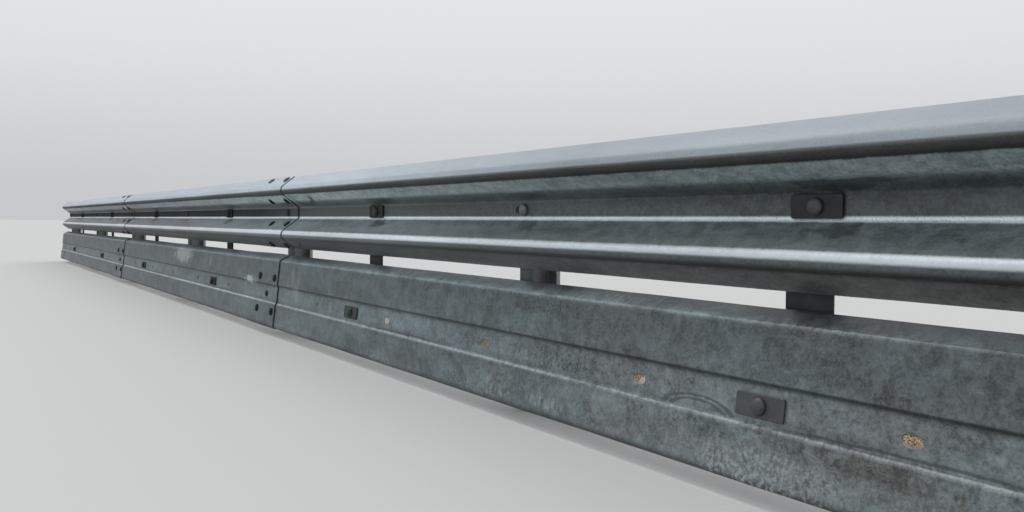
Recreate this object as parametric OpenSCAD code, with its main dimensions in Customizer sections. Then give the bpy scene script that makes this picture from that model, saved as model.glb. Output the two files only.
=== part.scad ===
// Steel highway guardrail section, 12 m of it: a W-shaped rail over a folded
// underrun board, on lipped C posts every 2 m with a hanging bracket midway.
// X runs along the rail, -Y is the road side, Z is up, ground level is Z = 0.
// The origin is the foot of the middle post, on the mid-plane of its front flange.

/* [Row] */
// Laying length of one rail or board panel, and the pitch of the laps
panel_pitch = 4000; // [3800:50:4200]
// Height of the top edge of the rail above the ground
rail_top = 700; // [660:5:780]

/* [Rail profile] */
// Thickness of the rolled rail sheet
rail_sheet = 2.7; // [2.5:0.1:3.2]
// Half the height of the rail, centre to outer edge
rail_half = 155.6; // [150:0.2:160]
// Depth of the waves between the mid-lines of valley and crown
wave_depth = 80; // [74:1:84]
// Height of each crown above or below the rail centre
crown_rise = 97; // [94:0.5:100]
// Slope of the wave sides, measured from the plane of the valley
wave_slope = 53; // [50:0.5:56]
// Mid-line radius of the two crowns
crown_radius = 24; // [20:1:28]
// Mid-line radius of the two bends beside the valley
valley_radius = 12; // [9:0.5:14]

/* [Rail laps] */
// Length over which neighbouring rail panels lap
rail_lap = 300; // [290:2:330]
// Shift of the rail panels and their slots along the row, away from the bolts
rail_shift = -14; // [-18:1:18]
// Spacing of the two columns of splice slots
splice_columns = 216; // [200:2:220]
// Distance from the edge of the rail to the centre line of the outer splice slots
splice_edge = 15.6; // [14:0.2:17]
// Width of a splice slot
splice_slot = 22; // [18:1:24]
// Length of a splice slot along the rail
splice_slot_length = 29; // [26:1:34]
// Width of the slots along the valley that take post and bracket bolts
valley_slot = 19; // [17:1:22]
// Length of the valley slots along the rail
valley_slot_length = 60; // [40:1:70]

/* [Underrun board] */
// Thickness of the folded board sheet
board_sheet = 3; // [2.5:0.1:3.5]
// Height between the bottom edge of the rail and the rear edge of the board
board_gap = 34; // [26:1:45]
// Length of the top flange that rises to the rear
top_flange = 53; // [44:1:60]
// Slope of the top flange above level
top_slope = 25.6; // [18:0.2:34]
// Distance from the rail valley mid-line forward to the upper front bend
board_front = 65; // [60:1:85]
// Outward lean of the face, its foot nearer the road
board_lean = 6.7; // [4:0.1:9]
// Length of the face along its slope
board_face = 298; // [285:1:305]
// Distance down the face to the recessed band
band_start = 109; // [100:1:115]
// Height of the recessed band with its two ledges
band_height = 88; // [80:1:94]
// Depth of the recessed band
band_depth = 6; // [4:0.5:9]
// Height taken by each sloping ledge of the band
band_ledge = 8; // [6:0.5:12]
// Length of the bottom flange turned to the rear
bottom_flange = 24; // [16:1:30]
// Mid-line radius of the main board bends
board_radius = 7; // [5:0.5:9]
// Mid-line radius of the small bends of the band
ledge_radius = 5.5; // [5.5:0.5:7]

/* [Board laps] */
// Length over which neighbouring board panels lap
board_lap = 300; // [290:2:330]
// Shift of the board panels and their holes along the row, away from the posts
board_shift = -74; // [-80:1:-60]
// Diameter of the round splice holes of the board
board_hole = 18; // [14:1:20]
// Height between the upper and lower splice holes, along the face
board_hole_rows = 149; // [140:1:156]
// Width of the long slots in the band
band_slot = 20; // [16:1:22]
// Length of the long slots in the band
band_slot_length = 40; // [32:1:48]
// Distance from each bracket slot to the open slots beside it
band_slot_pitch = 333; // [300:1:350]

/* [Posts] */
// Depth of the C post, front face to rear face
post_depth = 100; // [90:1:120]
// Width of the post flanges
post_flange = 60; // [50:1:70]
// Length of the lips of the C
post_lip = 16; // [12:1:20]
// Thickness of the post steel
post_sheet = 5; // [4:0.5:6]
// Mid-line radius of the post corners
post_radius = 6.5; // [5:0.5:8]
// Distance from the rail top down to the post top
post_drop = 22; // [10:1:40]

/* [Brackets] */
// Width of the hanging brackets, along the rail
bracket_width = 110; // [100:1:130]
// Shift of the brackets along the row, away from the rail bolts
bracket_shift = -20; // [-24:1:-16]
// Shift of the board bolts along the row, away from the rail bolts
board_bolt_shift = -56; // [-58:1:-50]
// Thickness of the bracket steel
bracket_sheet = 5; // [4:0.5:6]
// Mid-line radius of the bracket folds
bracket_radius = 8; // [7:0.5:12]
// Height of the bracket arm above the middle of the band, along the face
arm_rise = 50; // [44:1:60]
// Length of the tongue below the middle of the band, along the face
tongue_drop = 30; // [24:1:36]
// Height of the bracket head above the rail centre
bracket_head = 18; // [14:0.5:20]

/* [Plate washers] */
// Length of the plate washers along the rail
washer_length = 118; // [100:1:125]
// Height of the plate washers
washer_height = 44; // [38:1:46]
// Thickness of the plate washers
washer_plate = 5; // [4:0.5:6]
// Corner radius of the plate washers
washer_corner = 5; // [3:0.5:8]
// Diameter of the bolt holes in washers, brackets and posts
bolt_hole = 18; // [16.5:0.5:20]

/* [Hidden] */
$fn = 64;
// Largest turn between two neighbouring flats of a rounded bend
bend_step = 9;
// Length of every drilling tool, centred on the sheet it goes through
drill = 50;
// Run of the step by which a lapping sheet leaves the base plane, and the
// clearance between that step and the end of the sheet below
lap_step = 8;
lap_clear = 4;
// A rail washer is higher than the flat of the valley, so it rides this much up
// the bends, on its two long edges
washer_ride = 0.5;
// Stations along the row, about the middle post
post_pitch = panel_pitch / 2;
bracket_offset = panel_pitch / 4;
// Planes across the row
post_front = -post_sheet / 2;
valley_mid = post_front - rail_sheet / 2;
valley_front = valley_mid - rail_sheet / 2;
bracket_mid = post_front + bracket_sheet / 2;
// Rail, in distances forward of the valley mid-line and heights above the centre.
// The bends are drawn around the sharp corners where the flats would meet.
rail_centre = rail_top - rail_half;
crown_corner = wave_depth - crown_radius + crown_radius / cos(wave_slope);
valley_corner = crown_rise - crown_corner / tan(wave_slope);
edge_forward = crown_corner - (rail_half - crown_rise) * tan(wave_slope);
// Splice slots stand this far above and below each crown, so that both rows keep
// to the middle of a wave side
splice_rise = rail_half - splice_edge - crown_rise;
splice_forward = crown_corner - splice_rise * tan(wave_slope);
// Board, in the same coordinates
top_run = [-cos(top_slope), sin(top_slope)];
face_run = [sin(board_lean), -cos(board_lean)];
face_out = [cos(board_lean), sin(board_lean)];
board_corner = [board_front, -rail_half - board_gap - top_flange * sin(top_slope)];
band_middle = band_start + band_height / 2;
band_end = band_start + band_height;
board_foot = face_point(board_face, 0);

function unit(v) = v / norm(v);
function left(v) = [-v[1], v[0]];
function cross2(a, b) = a[0] * b[1] - a[1] * b[0];
function turning(a, b) = acos(max(-1, min(1, a * b)));
function turned(v, a) = [v[0] * cos(a) - v[1] * sin(a), v[0] * sin(a) + v[1] * cos(a)];
// A point given as [forward, up] becomes [y, z] about the rail valley
function yz(p) = [-p[0], p[1]];
// A point of the board face, by its way down the face and its rise off it
function face_point(down, out) = board_corner + down * face_run + out * face_out;
// The bend about corner b on the way from a to c, drawn at an offset to the left
function bend(a, b, c, radius, off) =
    let (run = unit(b - a), next = unit(c - b), angle = turning(run, next),
        side = sign(cross2(run, next)), arm = -side * left(run),
        centre = b - radius * tan(angle / 2) * run - radius * arm,
        steps = ceil(angle / bend_step))
    [for (k = [0:steps])
        centre + (radius - side * off) * turned(arm, side * angle * k / steps)];
// The whole line through the corner points at an offset to the left
function fold_line(points, radii, off) =
    let (last = len(points) - 1)
    concat([points[0] + off * left(unit(points[1] - points[0]))],
        [for (i = [1:last - 1])
            each bend(points[i - 1], points[i], points[i + 1], radii[i], off)],
        [points[last] + off * left(unit(points[last] - points[last - 1]))]);

// Section of a folded sheet. The mid-line runs through the corner points and is
// rounded at each with the given radius. The sheet fills the offsets from near to
// far, measured to the left of the direction of travel, so a sheet that laps on
// another shares its face and nests over it with concentric bends.
module folded(points, radii, near, far) {
    far_side = fold_line(points, radii, far);
    last = len(far_side) - 1;
    polygon(concat(fold_line(points, radii, near),
        [for (i = [last:-1:0]) far_side[i]]));
}

// Carries a [y, z] section along X from one station to another
module along(x_from, x_to) {
    translate([x_from, 0, 0]) rotate([90, 0, 90])
        linear_extrude(x_to - x_from) children();
}

// A round hole through a sheet at [x, forward, up] whose front faces up by tilt
module drilled(at, tilt, width) {
    translate([at[0], valley_mid - at[1], rail_centre + at[2]])
        rotate([90 - tilt, 0, 0])
            translate([0, 0, -drill / 2]) cylinder(h = drill, d = width);
}

// The same for a slot that lies along X
module slotted(at, tilt, width, length) {
    run = (length - width) / 2;
    drilled(at - [run, 0, 0], tilt, width);
    drilled(at + [run, 0, 0], tilt, width);
    translate([at[0] - run, valley_mid - at[1], rail_centre + at[2]])
        rotate([90 - tilt, 0, 0])
            translate([0, -width / 2, -drill / 2]) cube([2 * run, width, drill]);
}

// W section of the rail, from its top edge to its bottom edge
module rail_section(near, far) {
    translate([valley_mid, rail_centre]) folded(
        [yz([edge_forward, rail_half]), yz([crown_corner, crown_rise]),
            yz([0, valley_corner]), yz([0, -valley_corner]),
            yz([crown_corner, -crown_rise]), yz([edge_forward, -rail_half])],
        [0, crown_radius, valley_radius, valley_radius, crown_radius, 0],
        near, far);
}

// Eight splice slots about one lap of the rail
module rail_splice(x) {
    for (column = [-0.5, 0.5], half = [-1, 1], side = [-1, 1])
        slotted([x + column * splice_columns, splice_forward,
                half * (crown_rise + side * splice_rise)],
            half * side * wave_slope, splice_slot, splice_slot_length);
}

// One rail panel. Its left end lies against the post and its right end steps
// forward by one thickness to lap over the next panel.
module rail_panel(lap_at) {
    x = lap_at + rail_shift;
    under = x - rail_lap / 2;
    over = x + panel_pitch - rail_lap / 2 - lap_clear;
    difference() {
        union() {
            along(under, over) rail_section(-rail_sheet / 2, rail_sheet / 2);
            along(over - lap_step, over)
                rail_section(-1.5 * rail_sheet, rail_sheet / 2);
            along(over - lap_step, x + panel_pitch + rail_lap / 2)
                rail_section(-1.5 * rail_sheet, -rail_sheet / 2);
        }
        rail_splice(x);
        rail_splice(x + panel_pitch);
        for (station = [0:4])
            slotted([x + station * bracket_offset, 0, 0], 0,
                valley_slot, valley_slot_length);
    }
}

// Section of the board: top flange, leaning face with its band, bottom flange
module board_section(near, far) {
    translate([valley_mid, rail_centre]) folded(
        [yz(board_corner + top_flange * top_run), yz(board_corner),
            yz(face_point(band_start, 0)),
            yz(face_point(band_start + band_ledge, -band_depth)),
            yz(face_point(band_end - band_ledge, -band_depth)),
            yz(face_point(band_end, 0)),
            yz(board_foot), yz(board_foot - [bottom_flange, 0])],
        [0, board_radius, ledge_radius, ledge_radius,
            ledge_radius, ledge_radius, board_radius, 0],
        near, far);
}

// Five round splice holes about one lap of the board
module board_splice(x) {
    for (column = [-0.5, 0.5], row = [-0.5, 0.5]) {
        p = face_point(band_middle + row * board_hole_rows, 0);
        drilled([x + column * splice_columns, p[0], p[1]], board_lean, board_hole);
    }
    p = face_point(band_middle, -band_depth);
    drilled([x, p[0], p[1]], board_lean, board_hole);
}

// One long slot in the middle of the band
module band_slotted(x) {
    p = face_point(band_middle, -band_depth);
    slotted([x, p[0], p[1]], board_lean, band_slot, band_slot_length);
}

// One board panel, lapped like the rail above it, with long slots at its brackets,
// beside them and midway between them
module board_panel(lap_at) {
    x = lap_at + board_shift;
    under = x - board_lap / 2;
    over = under + panel_pitch - lap_clear;
    difference() {
        union() {
            along(under, over) board_section(-board_sheet / 2, board_sheet / 2);
            along(over - lap_step, over)
                board_section(-1.5 * board_sheet, board_sheet / 2);
            along(over - lap_step, under + panel_pitch + board_lap)
                board_section(-1.5 * board_sheet, -board_sheet / 2);
        }
        board_splice(x);
        board_splice(x + panel_pitch);
        for (station = [1, 3], side = [-1, 0, 1])
            band_slotted(x + station * bracket_offset + side * band_slot_pitch);
        band_slotted(x + 2 * bracket_offset);
    }
}

// Lipped C post, open along +X, with one bolt hole in its front flange
module post(x) {
    half = (post_flange - post_sheet) / 2;
    rear = post_depth - post_sheet;
    translate([x, 0, 0]) difference() {
        linear_extrude(rail_top - post_drop) folded(
            [[half, post_lip - post_sheet / 2], [half, 0], [-half, 0], [-half, rear],
                [half, rear], [half, rear - post_lip + post_sheet / 2]],
            [0, post_radius, post_radius, post_radius, post_radius, 0],
            -post_sheet / 2, post_sheet / 2);
        translate([0, 0, rail_centre]) rotate([90, 0, 0])
            translate([0, 0, -drill / 2]) cylinder(h = drill, d = bolt_hole);
    }
}

// Hanging bracket: a plate behind the rail valley, an arm forward under the
// rail, and a tongue that lies flat on the back of the band
module bracket(x) {
    middle = x + bracket_shift;
    behind = -band_depth - (board_sheet + bracket_sheet) / 2;
    arm = face_point(band_middle - arm_rise, behind);
    end = face_point(band_middle + tongue_drop, behind);
    seat = face_point(band_middle, behind);
    difference() {
        along(middle - bracket_width / 2, middle + bracket_width / 2)
            translate([valley_mid, rail_centre]) folded(
                [[bracket_mid - valley_mid, bracket_head],
                    [bracket_mid - valley_mid, arm[1]], yz(arm), yz(end)],
                [0, bracket_radius, bracket_radius, 0],
                -bracket_sheet / 2, bracket_sheet / 2);
        drilled([x, 0, 0], 0, bolt_hole);
        drilled([x + board_bolt_shift, seat[0], seat[1]], board_lean, bolt_hole);
    }
}

// Plate washer lying on its back, its hole at the origin
module plate_washer() {
    core = [washer_length / 2 - washer_corner, washer_height / 2 - washer_corner];
    linear_extrude(washer_plate) difference() {
        union() {
            square([washer_length, 2 * core[1]], center = true);
            square([2 * core[0], washer_height], center = true);
            for (x = [-1, 1], y = [-1, 1])
                translate([x * core[0], y * core[1]]) circle(washer_corner);
        }
        circle(d = bolt_hole);
    }
}

module rail_washer(x) {
    translate([x, valley_front - washer_ride, rail_centre])
        rotate([90, 0, 0]) plate_washer();
}

module board_washer(x) {
    seat = face_point(band_middle, -band_depth + board_sheet / 2);
    translate([x + board_bolt_shift, valley_mid - seat[0], rail_centre + seat[1]])
        rotate([90 - board_lean, 0, 0]) plate_washer();
}

module rail_left() {
    color("#aab0b3") rail_panel(-1.5 * panel_pitch);
}
module rail_middle() {
    color("#aab0b3") rail_panel(-0.5 * panel_pitch);
}
module rail_right() {
    color("#aab0b3") rail_panel(0.5 * panel_pitch);
}
module board_left() {
    color("#8f9a9c") board_panel(-1.5 * panel_pitch);
}
module board_middle() {
    color("#8f9a9c") board_panel(-0.5 * panel_pitch);
}
module board_right() {
    color("#8f9a9c") board_panel(0.5 * panel_pitch);
}
module post_1() {
    color("#8c8d86") post(-3 * post_pitch);
}
module post_2() {
    color("#8c8d86") post(-2 * post_pitch);
}
module post_3() {
    color("#8c8d86") post(-1 * post_pitch);
}
module post_4() {
    color("#8c8d86") post(0 * post_pitch);
}
module post_5() {
    color("#8c8d86") post(1 * post_pitch);
}
module post_6() {
    color("#8c8d86") post(2 * post_pitch);
}
module post_7() {
    color("#8c8d86") post(3 * post_pitch);
}
module bracket_1() {
    color("#84888a") bracket(-2.5 * post_pitch);
}
module bracket_2() {
    color("#84888a") bracket(-1.5 * post_pitch);
}
module bracket_3() {
    color("#84888a") bracket(-0.5 * post_pitch);
}
module bracket_4() {
    color("#84888a") bracket(0.5 * post_pitch);
}
module bracket_5() {
    color("#84888a") bracket(1.5 * post_pitch);
}
module bracket_6() {
    color("#84888a") bracket(2.5 * post_pitch);
}
module rail_washer_1() {
    color("#5d6062") rail_washer(-2.5 * post_pitch);
}
module rail_washer_2() {
    color("#5d6062") rail_washer(-1.5 * post_pitch);
}
module rail_washer_3() {
    color("#5d6062") rail_washer(-0.5 * post_pitch);
}
module rail_washer_4() {
    color("#5d6062") rail_washer(0.5 * post_pitch);
}
module rail_washer_5() {
    color("#5d6062") rail_washer(1.5 * post_pitch);
}
module rail_washer_6() {
    color("#5d6062") rail_washer(2.5 * post_pitch);
}
module board_washer_1() {
    color("#6b6f72") board_washer(-2.5 * post_pitch);
}
module board_washer_2() {
    color("#6b6f72") board_washer(-1.5 * post_pitch);
}
module board_washer_3() {
    color("#6b6f72") board_washer(-0.5 * post_pitch);
}
module board_washer_4() {
    color("#6b6f72") board_washer(0.5 * post_pitch);
}
module board_washer_5() {
    color("#6b6f72") board_washer(1.5 * post_pitch);
}
module board_washer_6() {
    color("#6b6f72") board_washer(2.5 * post_pitch);
}

rail_left();
rail_middle();
rail_right();
board_left();
board_middle();
board_right();
post_1();
post_2();
post_3();
post_4();
post_5();
post_6();
post_7();
bracket_1();
bracket_2();
bracket_3();
bracket_4();
bracket_5();
bracket_6();
rail_washer_1();
rail_washer_2();
rail_washer_3();
rail_washer_4();
rail_washer_5();
rail_washer_6();
board_washer_1();
board_washer_2();
board_washer_3();
board_washer_4();
board_washer_5();
board_washer_6();
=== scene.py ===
"""Dresses the highway guardrail section for its render.

Every sheet of the guardrail is one folded section carried along a straight line,
so one function makes rails, boards, posts and brackets, smooth at their bends and
open at their holes. Bolts, nuts, washers and dried mud are added at their real
places, and each finish is a procedural one. All lengths are in metres, in the
frame of the solids: X along the rail, -Y the road side, Z up from the ground.
"""

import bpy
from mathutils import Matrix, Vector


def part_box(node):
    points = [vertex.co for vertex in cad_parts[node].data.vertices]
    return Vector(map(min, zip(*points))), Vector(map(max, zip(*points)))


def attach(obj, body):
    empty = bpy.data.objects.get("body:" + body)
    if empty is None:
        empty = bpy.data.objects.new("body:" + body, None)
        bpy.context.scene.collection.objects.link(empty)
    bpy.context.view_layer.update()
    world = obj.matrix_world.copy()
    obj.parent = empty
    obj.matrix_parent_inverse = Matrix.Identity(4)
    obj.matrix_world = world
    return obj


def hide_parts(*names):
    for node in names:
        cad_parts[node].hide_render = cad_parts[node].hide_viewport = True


bl_info = {
    "name": "Highway guardrail section",
    "version": (1, 0, 0),
    "blender": (4, 5, 0),
    "location": "3D View > Sidebar > Guardrail",
    "description": "Sheets, fasteners, finishes and stage of a guardrail section",
    "category": "Object",
}

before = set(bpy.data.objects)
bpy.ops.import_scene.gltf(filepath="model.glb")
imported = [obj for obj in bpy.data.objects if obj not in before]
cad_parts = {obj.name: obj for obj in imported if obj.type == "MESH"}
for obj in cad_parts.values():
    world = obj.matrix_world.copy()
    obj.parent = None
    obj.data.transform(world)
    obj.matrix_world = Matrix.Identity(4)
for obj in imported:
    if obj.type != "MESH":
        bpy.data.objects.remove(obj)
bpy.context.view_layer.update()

from functools import reduce
from math import ceil, cos, pi, radians, sin, tan

import bpy
import numpy as np
from bpy.props import FloatProperty, FloatVectorProperty, PointerProperty
from mathutils import Matrix, Vector

BODY = "root"
IMAGE_WIDTH = 1024
RAILS = ["rail_left", "rail_middle", "rail_right"]
BOARDS = ["board_left", "board_middle", "board_right"]
POSTS, BRACKETS, RAIL_WASHERS, BOARD_WASHERS = (
    ["%s_%d" % (stem, k) for k in range(1, count + 1)]
    for stem, count in (("post", 7), ("bracket", 6), ("rail_washer", 6), ("board_washer", 6)))
# Distance between posts
BAY = 2.0
TO_ROAD, TO_REAR = (0, -1, 0), (0, 1, 0)
# Grid of the sheets: step along the run, along a flat, and degrees round a bend
RUN_STEP, FLAT_STEP, BEND_STEP = 0.06, 0.018, 5
# Added to the run on the rear of a sheet, so that marks of the front miss it
OUT_OF_REACH = 50
# Depth of the long hollows in the rolled rail and in the board
RAIL_HOLLOWS, BOARD_HOLLOWS = 0.0004, 0.0006
# A press mark beside a rail lap: its place, its reach and its depth, and the closer
# grid lines about it
DENT = ((2.31, 0.14), (0.06, 0.022), 0.005)
DENT_RUNS = np.arange(2.14, 2.48, 0.012)
# Lower bound of the range over which most noises are spread, the upper being 1 less it
NOISE_LOW = 0.38
# Run of an open slot, how warm its mud is, how pale
MUD = [(2.593, 0.1, 0.4), (3.259, 0.1, 1.0), (3.926, 0.6, 0.35), (4.593, 0.9, 0.5), (5.259, 1.0, 0.0)]

# Tints of zinc by place on the sheets, the first for the painted highlights of the rail's valley line
# and lower crown
LINE_HIGHLIGHT_ZINC = (0.438, 0.475, 0.503)
FAR_FILM = (0.345, 0.37, 0.4)
FAR_VALLEY = (0.25, 0.335, 0.4)
FAR_DUST = (0.31, 0.37, 0.385)
FAR_BOARD = (0.208, 0.285, 0.308)
# Wear and dirt of the sheets, with painted reflections of the fittings, painted shade round the dents
# and with dirt in the seams, and the tint of the lower ledge's painted highlight
FLECK = (0.3, 0.33, 0.33)
PLUM = (0.075, 0.066, 0.075)
SPECK = (0.07, 0.07, 0.068)
FITTING_REFLECTION = (0.016, 0.019, 0.02)
DENT_SHADE = (0.02, 0.022, 0.022)
SCUFF = (0.52, 0.56, 0.51)
FROST = (0.372, 0.4, 0.4)
LEDGE_HIGHLIGHT = (0.44, 0.45, 0.44)
GRIME = (0.035, 0.038, 0.032)
SOIL = (0.09, 0.085, 0.06)
TIDE = (0.05, 0.055, 0.06)
RAIL_SEAM = (0.01, 0.011, 0.011)
BOARD_SEAM = (0.008, 0.009, 0.009)
# Dried mud, and the black plugs of painted shade in the valley slots
MUD_GAP = (0.025, 0.017, 0.008)
MUD_GRAIN = (0.03, 0.022, 0.012)
MUD_PINK = (0.42, 0.3, 0.27)
MUD_SHADE = (0.05, 0.045, 0.04)
MUD_GREY = (0.07, 0.085, 0.085)
MUD_ASH = (0.13, 0.15, 0.15)
CHALK = (0.5, 0.49, 0.43)
SLOT_SHADE = (0.012, 0.012, 0.012)
SLOT_SHADE_FLECK = (0.05, 0.05, 0.048)
# White of the sky
SKY = (0.98, 1.0, 1.03)
# Pieces of bolts and nuts, and the finish of each
FASTENERS = {"post_bolt_heads": "post_head", "post_bolt_nuts": "nut",
             "washer_bolt_heads": "head", "washer_bolt_nuts": "nut",
             "rail_lap_heads": "lap_head", "rail_top_heads": "top_head", "rail_lap_nuts": "nut",
             "board_lap_heads": "lap_head", "board_lap_nuts": "nut"}


def size(name, text, default, unit="LENGTH"):
    """A settable length, angle or plain number with its default."""
    return FloatProperty(name=name, description=text, default=default, unit=unit, precision=4)


def tint(name, text, default):
    """A settable colour."""
    return FloatVectorProperty(name=name, description=text, default=default, subtype="COLOR",
                               size=3, min=0.0, max=1.0)


class RailSizes(bpy.types.PropertyGroup):
    """Rolled section of the rail and its laps."""
    sheet: size("Sheet", "Thickness of the rolled rail", 0.0027)
    half: size("Half height", "From the rail centre to its outer edge", 0.1556)
    wave: size("Wave depth", "From valley to crown, between mid-lines", 0.08)
    crown_rise: size("Crown rise", "Height of each crown off the rail centre", 0.097)
    slope: size("Wave slope", "Slope of the wave sides off the valley plane", radians(53), "ROTATION")
    crown_radius: size("Crown radius", "Mid-line radius of the crowns", 0.024)
    valley_radius: size("Valley radius", "Mid-line radius beside the valley", 0.012)
    lap: size("Lap", "Length over which two panels lap", 0.3)
    columns: size("Splice columns", "Spacing of the two columns of splice slots", 0.216)
    edge: size("Splice edge", "From the rail edge to the outer splice slots", 0.0156)
    slot_width: size("Splice slot", "Width of a splice slot", 0.022)
    slot_length: size("Splice slot length", "Length of a splice slot", 0.029)
    valley_slot: size("Valley slot", "Width of a valley slot", 0.019)
    valley_length: size("Valley slot length", "Length of a valley slot", 0.06)


class BoardSizes(bpy.types.PropertyGroup):
    """Folded section of the underrun board and its laps."""
    sheet: size("Sheet", "Thickness of the folded board", 0.003)
    gap: size("Gap", "From the rail's bottom edge down to the board's rear edge", 0.034)
    top_flange: size("Top flange", "Length of the flange that rises to the rear", 0.053)
    top_slope: size("Top slope", "Slope of the top flange", radians(25.6), "ROTATION")
    front: size("Front", "From the valley forward to the upper front bend", 0.065)
    lean: size("Lean", "Outward lean of the face", radians(6.7), "ROTATION")
    face: size("Face", "Length of the face along its slope", 0.298)
    band_start: size("Band start", "Down the face to the recessed band", 0.109)
    band: size("Band", "Height of the recessed band with its ledges", 0.088)
    depth: size("Band depth", "Depth of the recessed band", 0.006)
    ledge: size("Ledge", "Height taken by each sloping ledge", 0.008)
    foot: size("Bottom flange", "Length of the flange turned to the rear", 0.024)
    radius: size("Bend radius", "Mid-line radius of the main bends", 0.007)
    ledge_radius: size("Ledge radius", "Mid-line radius of the small bends", 0.0055)
    lap: size("Lap", "Length over which two panels lap", 0.3)
    columns: size("Splice columns", "Spacing of the two columns of splice holes", 0.216)
    rows: size("Splice rows", "Spacing of the upper and lower splice holes", 0.149)
    hole: size("Splice hole", "Diameter of the splice holes", 0.018)
    slot_width: size("Band slot", "Width of the long slots", 0.02)
    slot_length: size("Band slot length", "Length of the long slots", 0.04)
    slot_pitch: size("Band slot pitch", "From a bracket's slot to the open ones beside it", 0.333)
    bolt_shift: size("Bolt shift", "Shift of the board bolts along the row", -0.056)


class PostSizes(bpy.types.PropertyGroup):
    """Sections of the C posts and of the hanging brackets."""
    sheet: size("Sheet", "Thickness of the post steel", 0.005)
    radius: size("Corner radius", "Mid-line radius of the post corners", 0.0065)
    lip: size("Lip", "Length of the lips of the C", 0.016)
    bracket_sheet: size("Bracket sheet", "Thickness of the bracket", 0.005)
    bracket_radius: size("Bracket radius", "Mid-line radius of the bracket folds", 0.008)
    arm_rise: size("Arm rise", "Height of the bracket arm above the middle of the band", 0.05)
    tongue: size("Tongue", "Length of the tongue below the middle of the band", 0.03)
    hole: size("Bolt hole", "Diameter of the bolt holes", 0.018)


class BoltSizes(bpy.types.PropertyGroup):
    """Dome-headed bolts, their nuts and the washers."""
    head: size("Head", "Diameter of the dome heads", 0.034)
    band_head: size("Band head", "Diameter of the heads in the band of the board laps", 0.026)
    dome: size("Dome", "Height of the dome heads", 0.012)
    lap_dome: size("Lap dome", "Height of the flatter heads on the laps", 0.007)
    shank: size("Shank", "Diameter of the bolts", 0.016)
    nut: size("Nut", "Nut size across flats", 0.024)
    nut_height: size("Nut height", "Height of a nut", 0.013)
    proud: size("Proud end", "Length of bolt that stands out of its nut", 0.009)
    washer: size("Round washer", "Diameter of the round washers under the nuts", 0.03)
    washer_height: size("Round washer height", "Thickness of the round washers", 0.003)
    corner: size("Plate corner", "Corner radius of the plate washers", 0.005)
    plate_length: size("Plate length", "Length of the plate washers", 0.118)
    plate_height: size("Plate height", "Height of the plate washers", 0.044)
    plate: size("Plate", "Thickness of the plate washers", 0.005)


class FinishColours(bpy.types.PropertyGroup):
    """Colours of the weathered zinc."""
    # Zinc is the colour of the rail's top slope, where its painted highlight lies
    zinc: tint("Zinc", "Rain-washed zinc of the rail", (0.425, 0.475, 0.525))
    film: tint("Road film", "Zinc under a film of road dirt", (0.32, 0.385, 0.4))
    dust: tint("Road dust", "Brown dust under the crowns", (0.36, 0.385, 0.376))
    board: tint("Board", "Dull zinc of the board", (0.237, 0.285, 0.298))
    warm_board: tint("Warm board", "Brownish patches of the board", (0.25, 0.28, 0.29))
    bloom: tint("Bloom", "Pale bloom and dust on the board", (0.36, 0.4, 0.4))
    faded: tint("Faded patch", "Pale grey patches on the board", (0.5, 0.52, 0.53))
    # Painted shade: the rail's plate washers and the brackets are painted far darker than the board's
    # washers, for the shade in the rail's valley and in the gap behind it
    washer: tint("Rail washers", "Dark zinc of the plate washers on the rail", (0.03, 0.032, 0.034))
    fitting: tint("Board washers", "Dark zinc of the plate washers on the board", (0.09, 0.095, 0.1))
    bracket: tint("Brackets", "Dark zinc of the brackets", (0.036, 0.04, 0.043))
    head: tint("Bolt heads", "Bolt heads on the plate washers", (0.086, 0.087, 0.089))
    post_head: tint("Post heads", "Greyer bolt heads at the posts", (0.17, 0.18, 0.185))
    lap_head: tint("Lap heads", "Dark heads of the lap bolts", (0.045, 0.048, 0.052))
    # Painted light: the lap heads on the top slope are painted lighter than the other lap heads, as
    # they face the light
    top_head: tint("Top heads", "Rain-washed heads on the top slope", (0.24, 0.26, 0.285))
    post: tint("Posts", "Dusty zinc of the posts", (0.28, 0.265, 0.235))
    nut: tint("Nuts", "Dusty zinc of the nuts", (0.28, 0.265, 0.235))
    stain: tint("Stain", "Dark spots in the pits", (0.04, 0.036, 0.03))
    earth: tint("Earth", "Dried mud in the slots", (0.24, 0.13, 0.05))
    crust: tint("Crust", "Pale crust of the dried mud", (0.56, 0.43, 0.29))


class StageSettings(bpy.types.PropertyGroup):
    """Camera, lights and floor."""
    focal: size("Focal length", "Focal length in pixels of the picture", 952.3, "NONE")
    yaw: size("Yaw", "Turn of the camera from the row towards the rail", radians(31.175), "ROTATION")
    pitch: size("Pitch", "Downward tilt of the camera", radians(2.167), "ROTATION")
    roll: size("Roll", "Roll of the camera", radians(0.3), "ROTATION")
    along: size("Along", "Camera position along the row", 6.1835)
    away: size("Away", "Camera distance on the road side of the valley", 1.3601)
    below: size("Below", "Camera height below the rail centre", 0.0272)
    sky: size("Sky", "Brightness of the light from overhead", 1.0, "NONE")
    backdrop: size("Backdrop", "Brightness of the backdrop above the horizon", 0.75, "NONE")
    horizon: size("Horizon", "Brightness of the backdrop at the horizon", 0.58, "NONE")
    lamp: size("Lamp", "Strength of the soft lamp", 1.2, "NONE")
    floor: tint("Floor", "Colour of the floor", (0.5, 0.5, 0.49))


SETTINGS = {"rail": RailSizes, "board": BoardSizes, "post": PostSizes, "bolt": BoltSizes,
            "finish": FinishColours, "stage": StageSettings}


def settings(name):
    """The scene's own copy of one group of sizes."""
    return getattr(bpy.context.scene, "guardrail_" + name)


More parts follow.
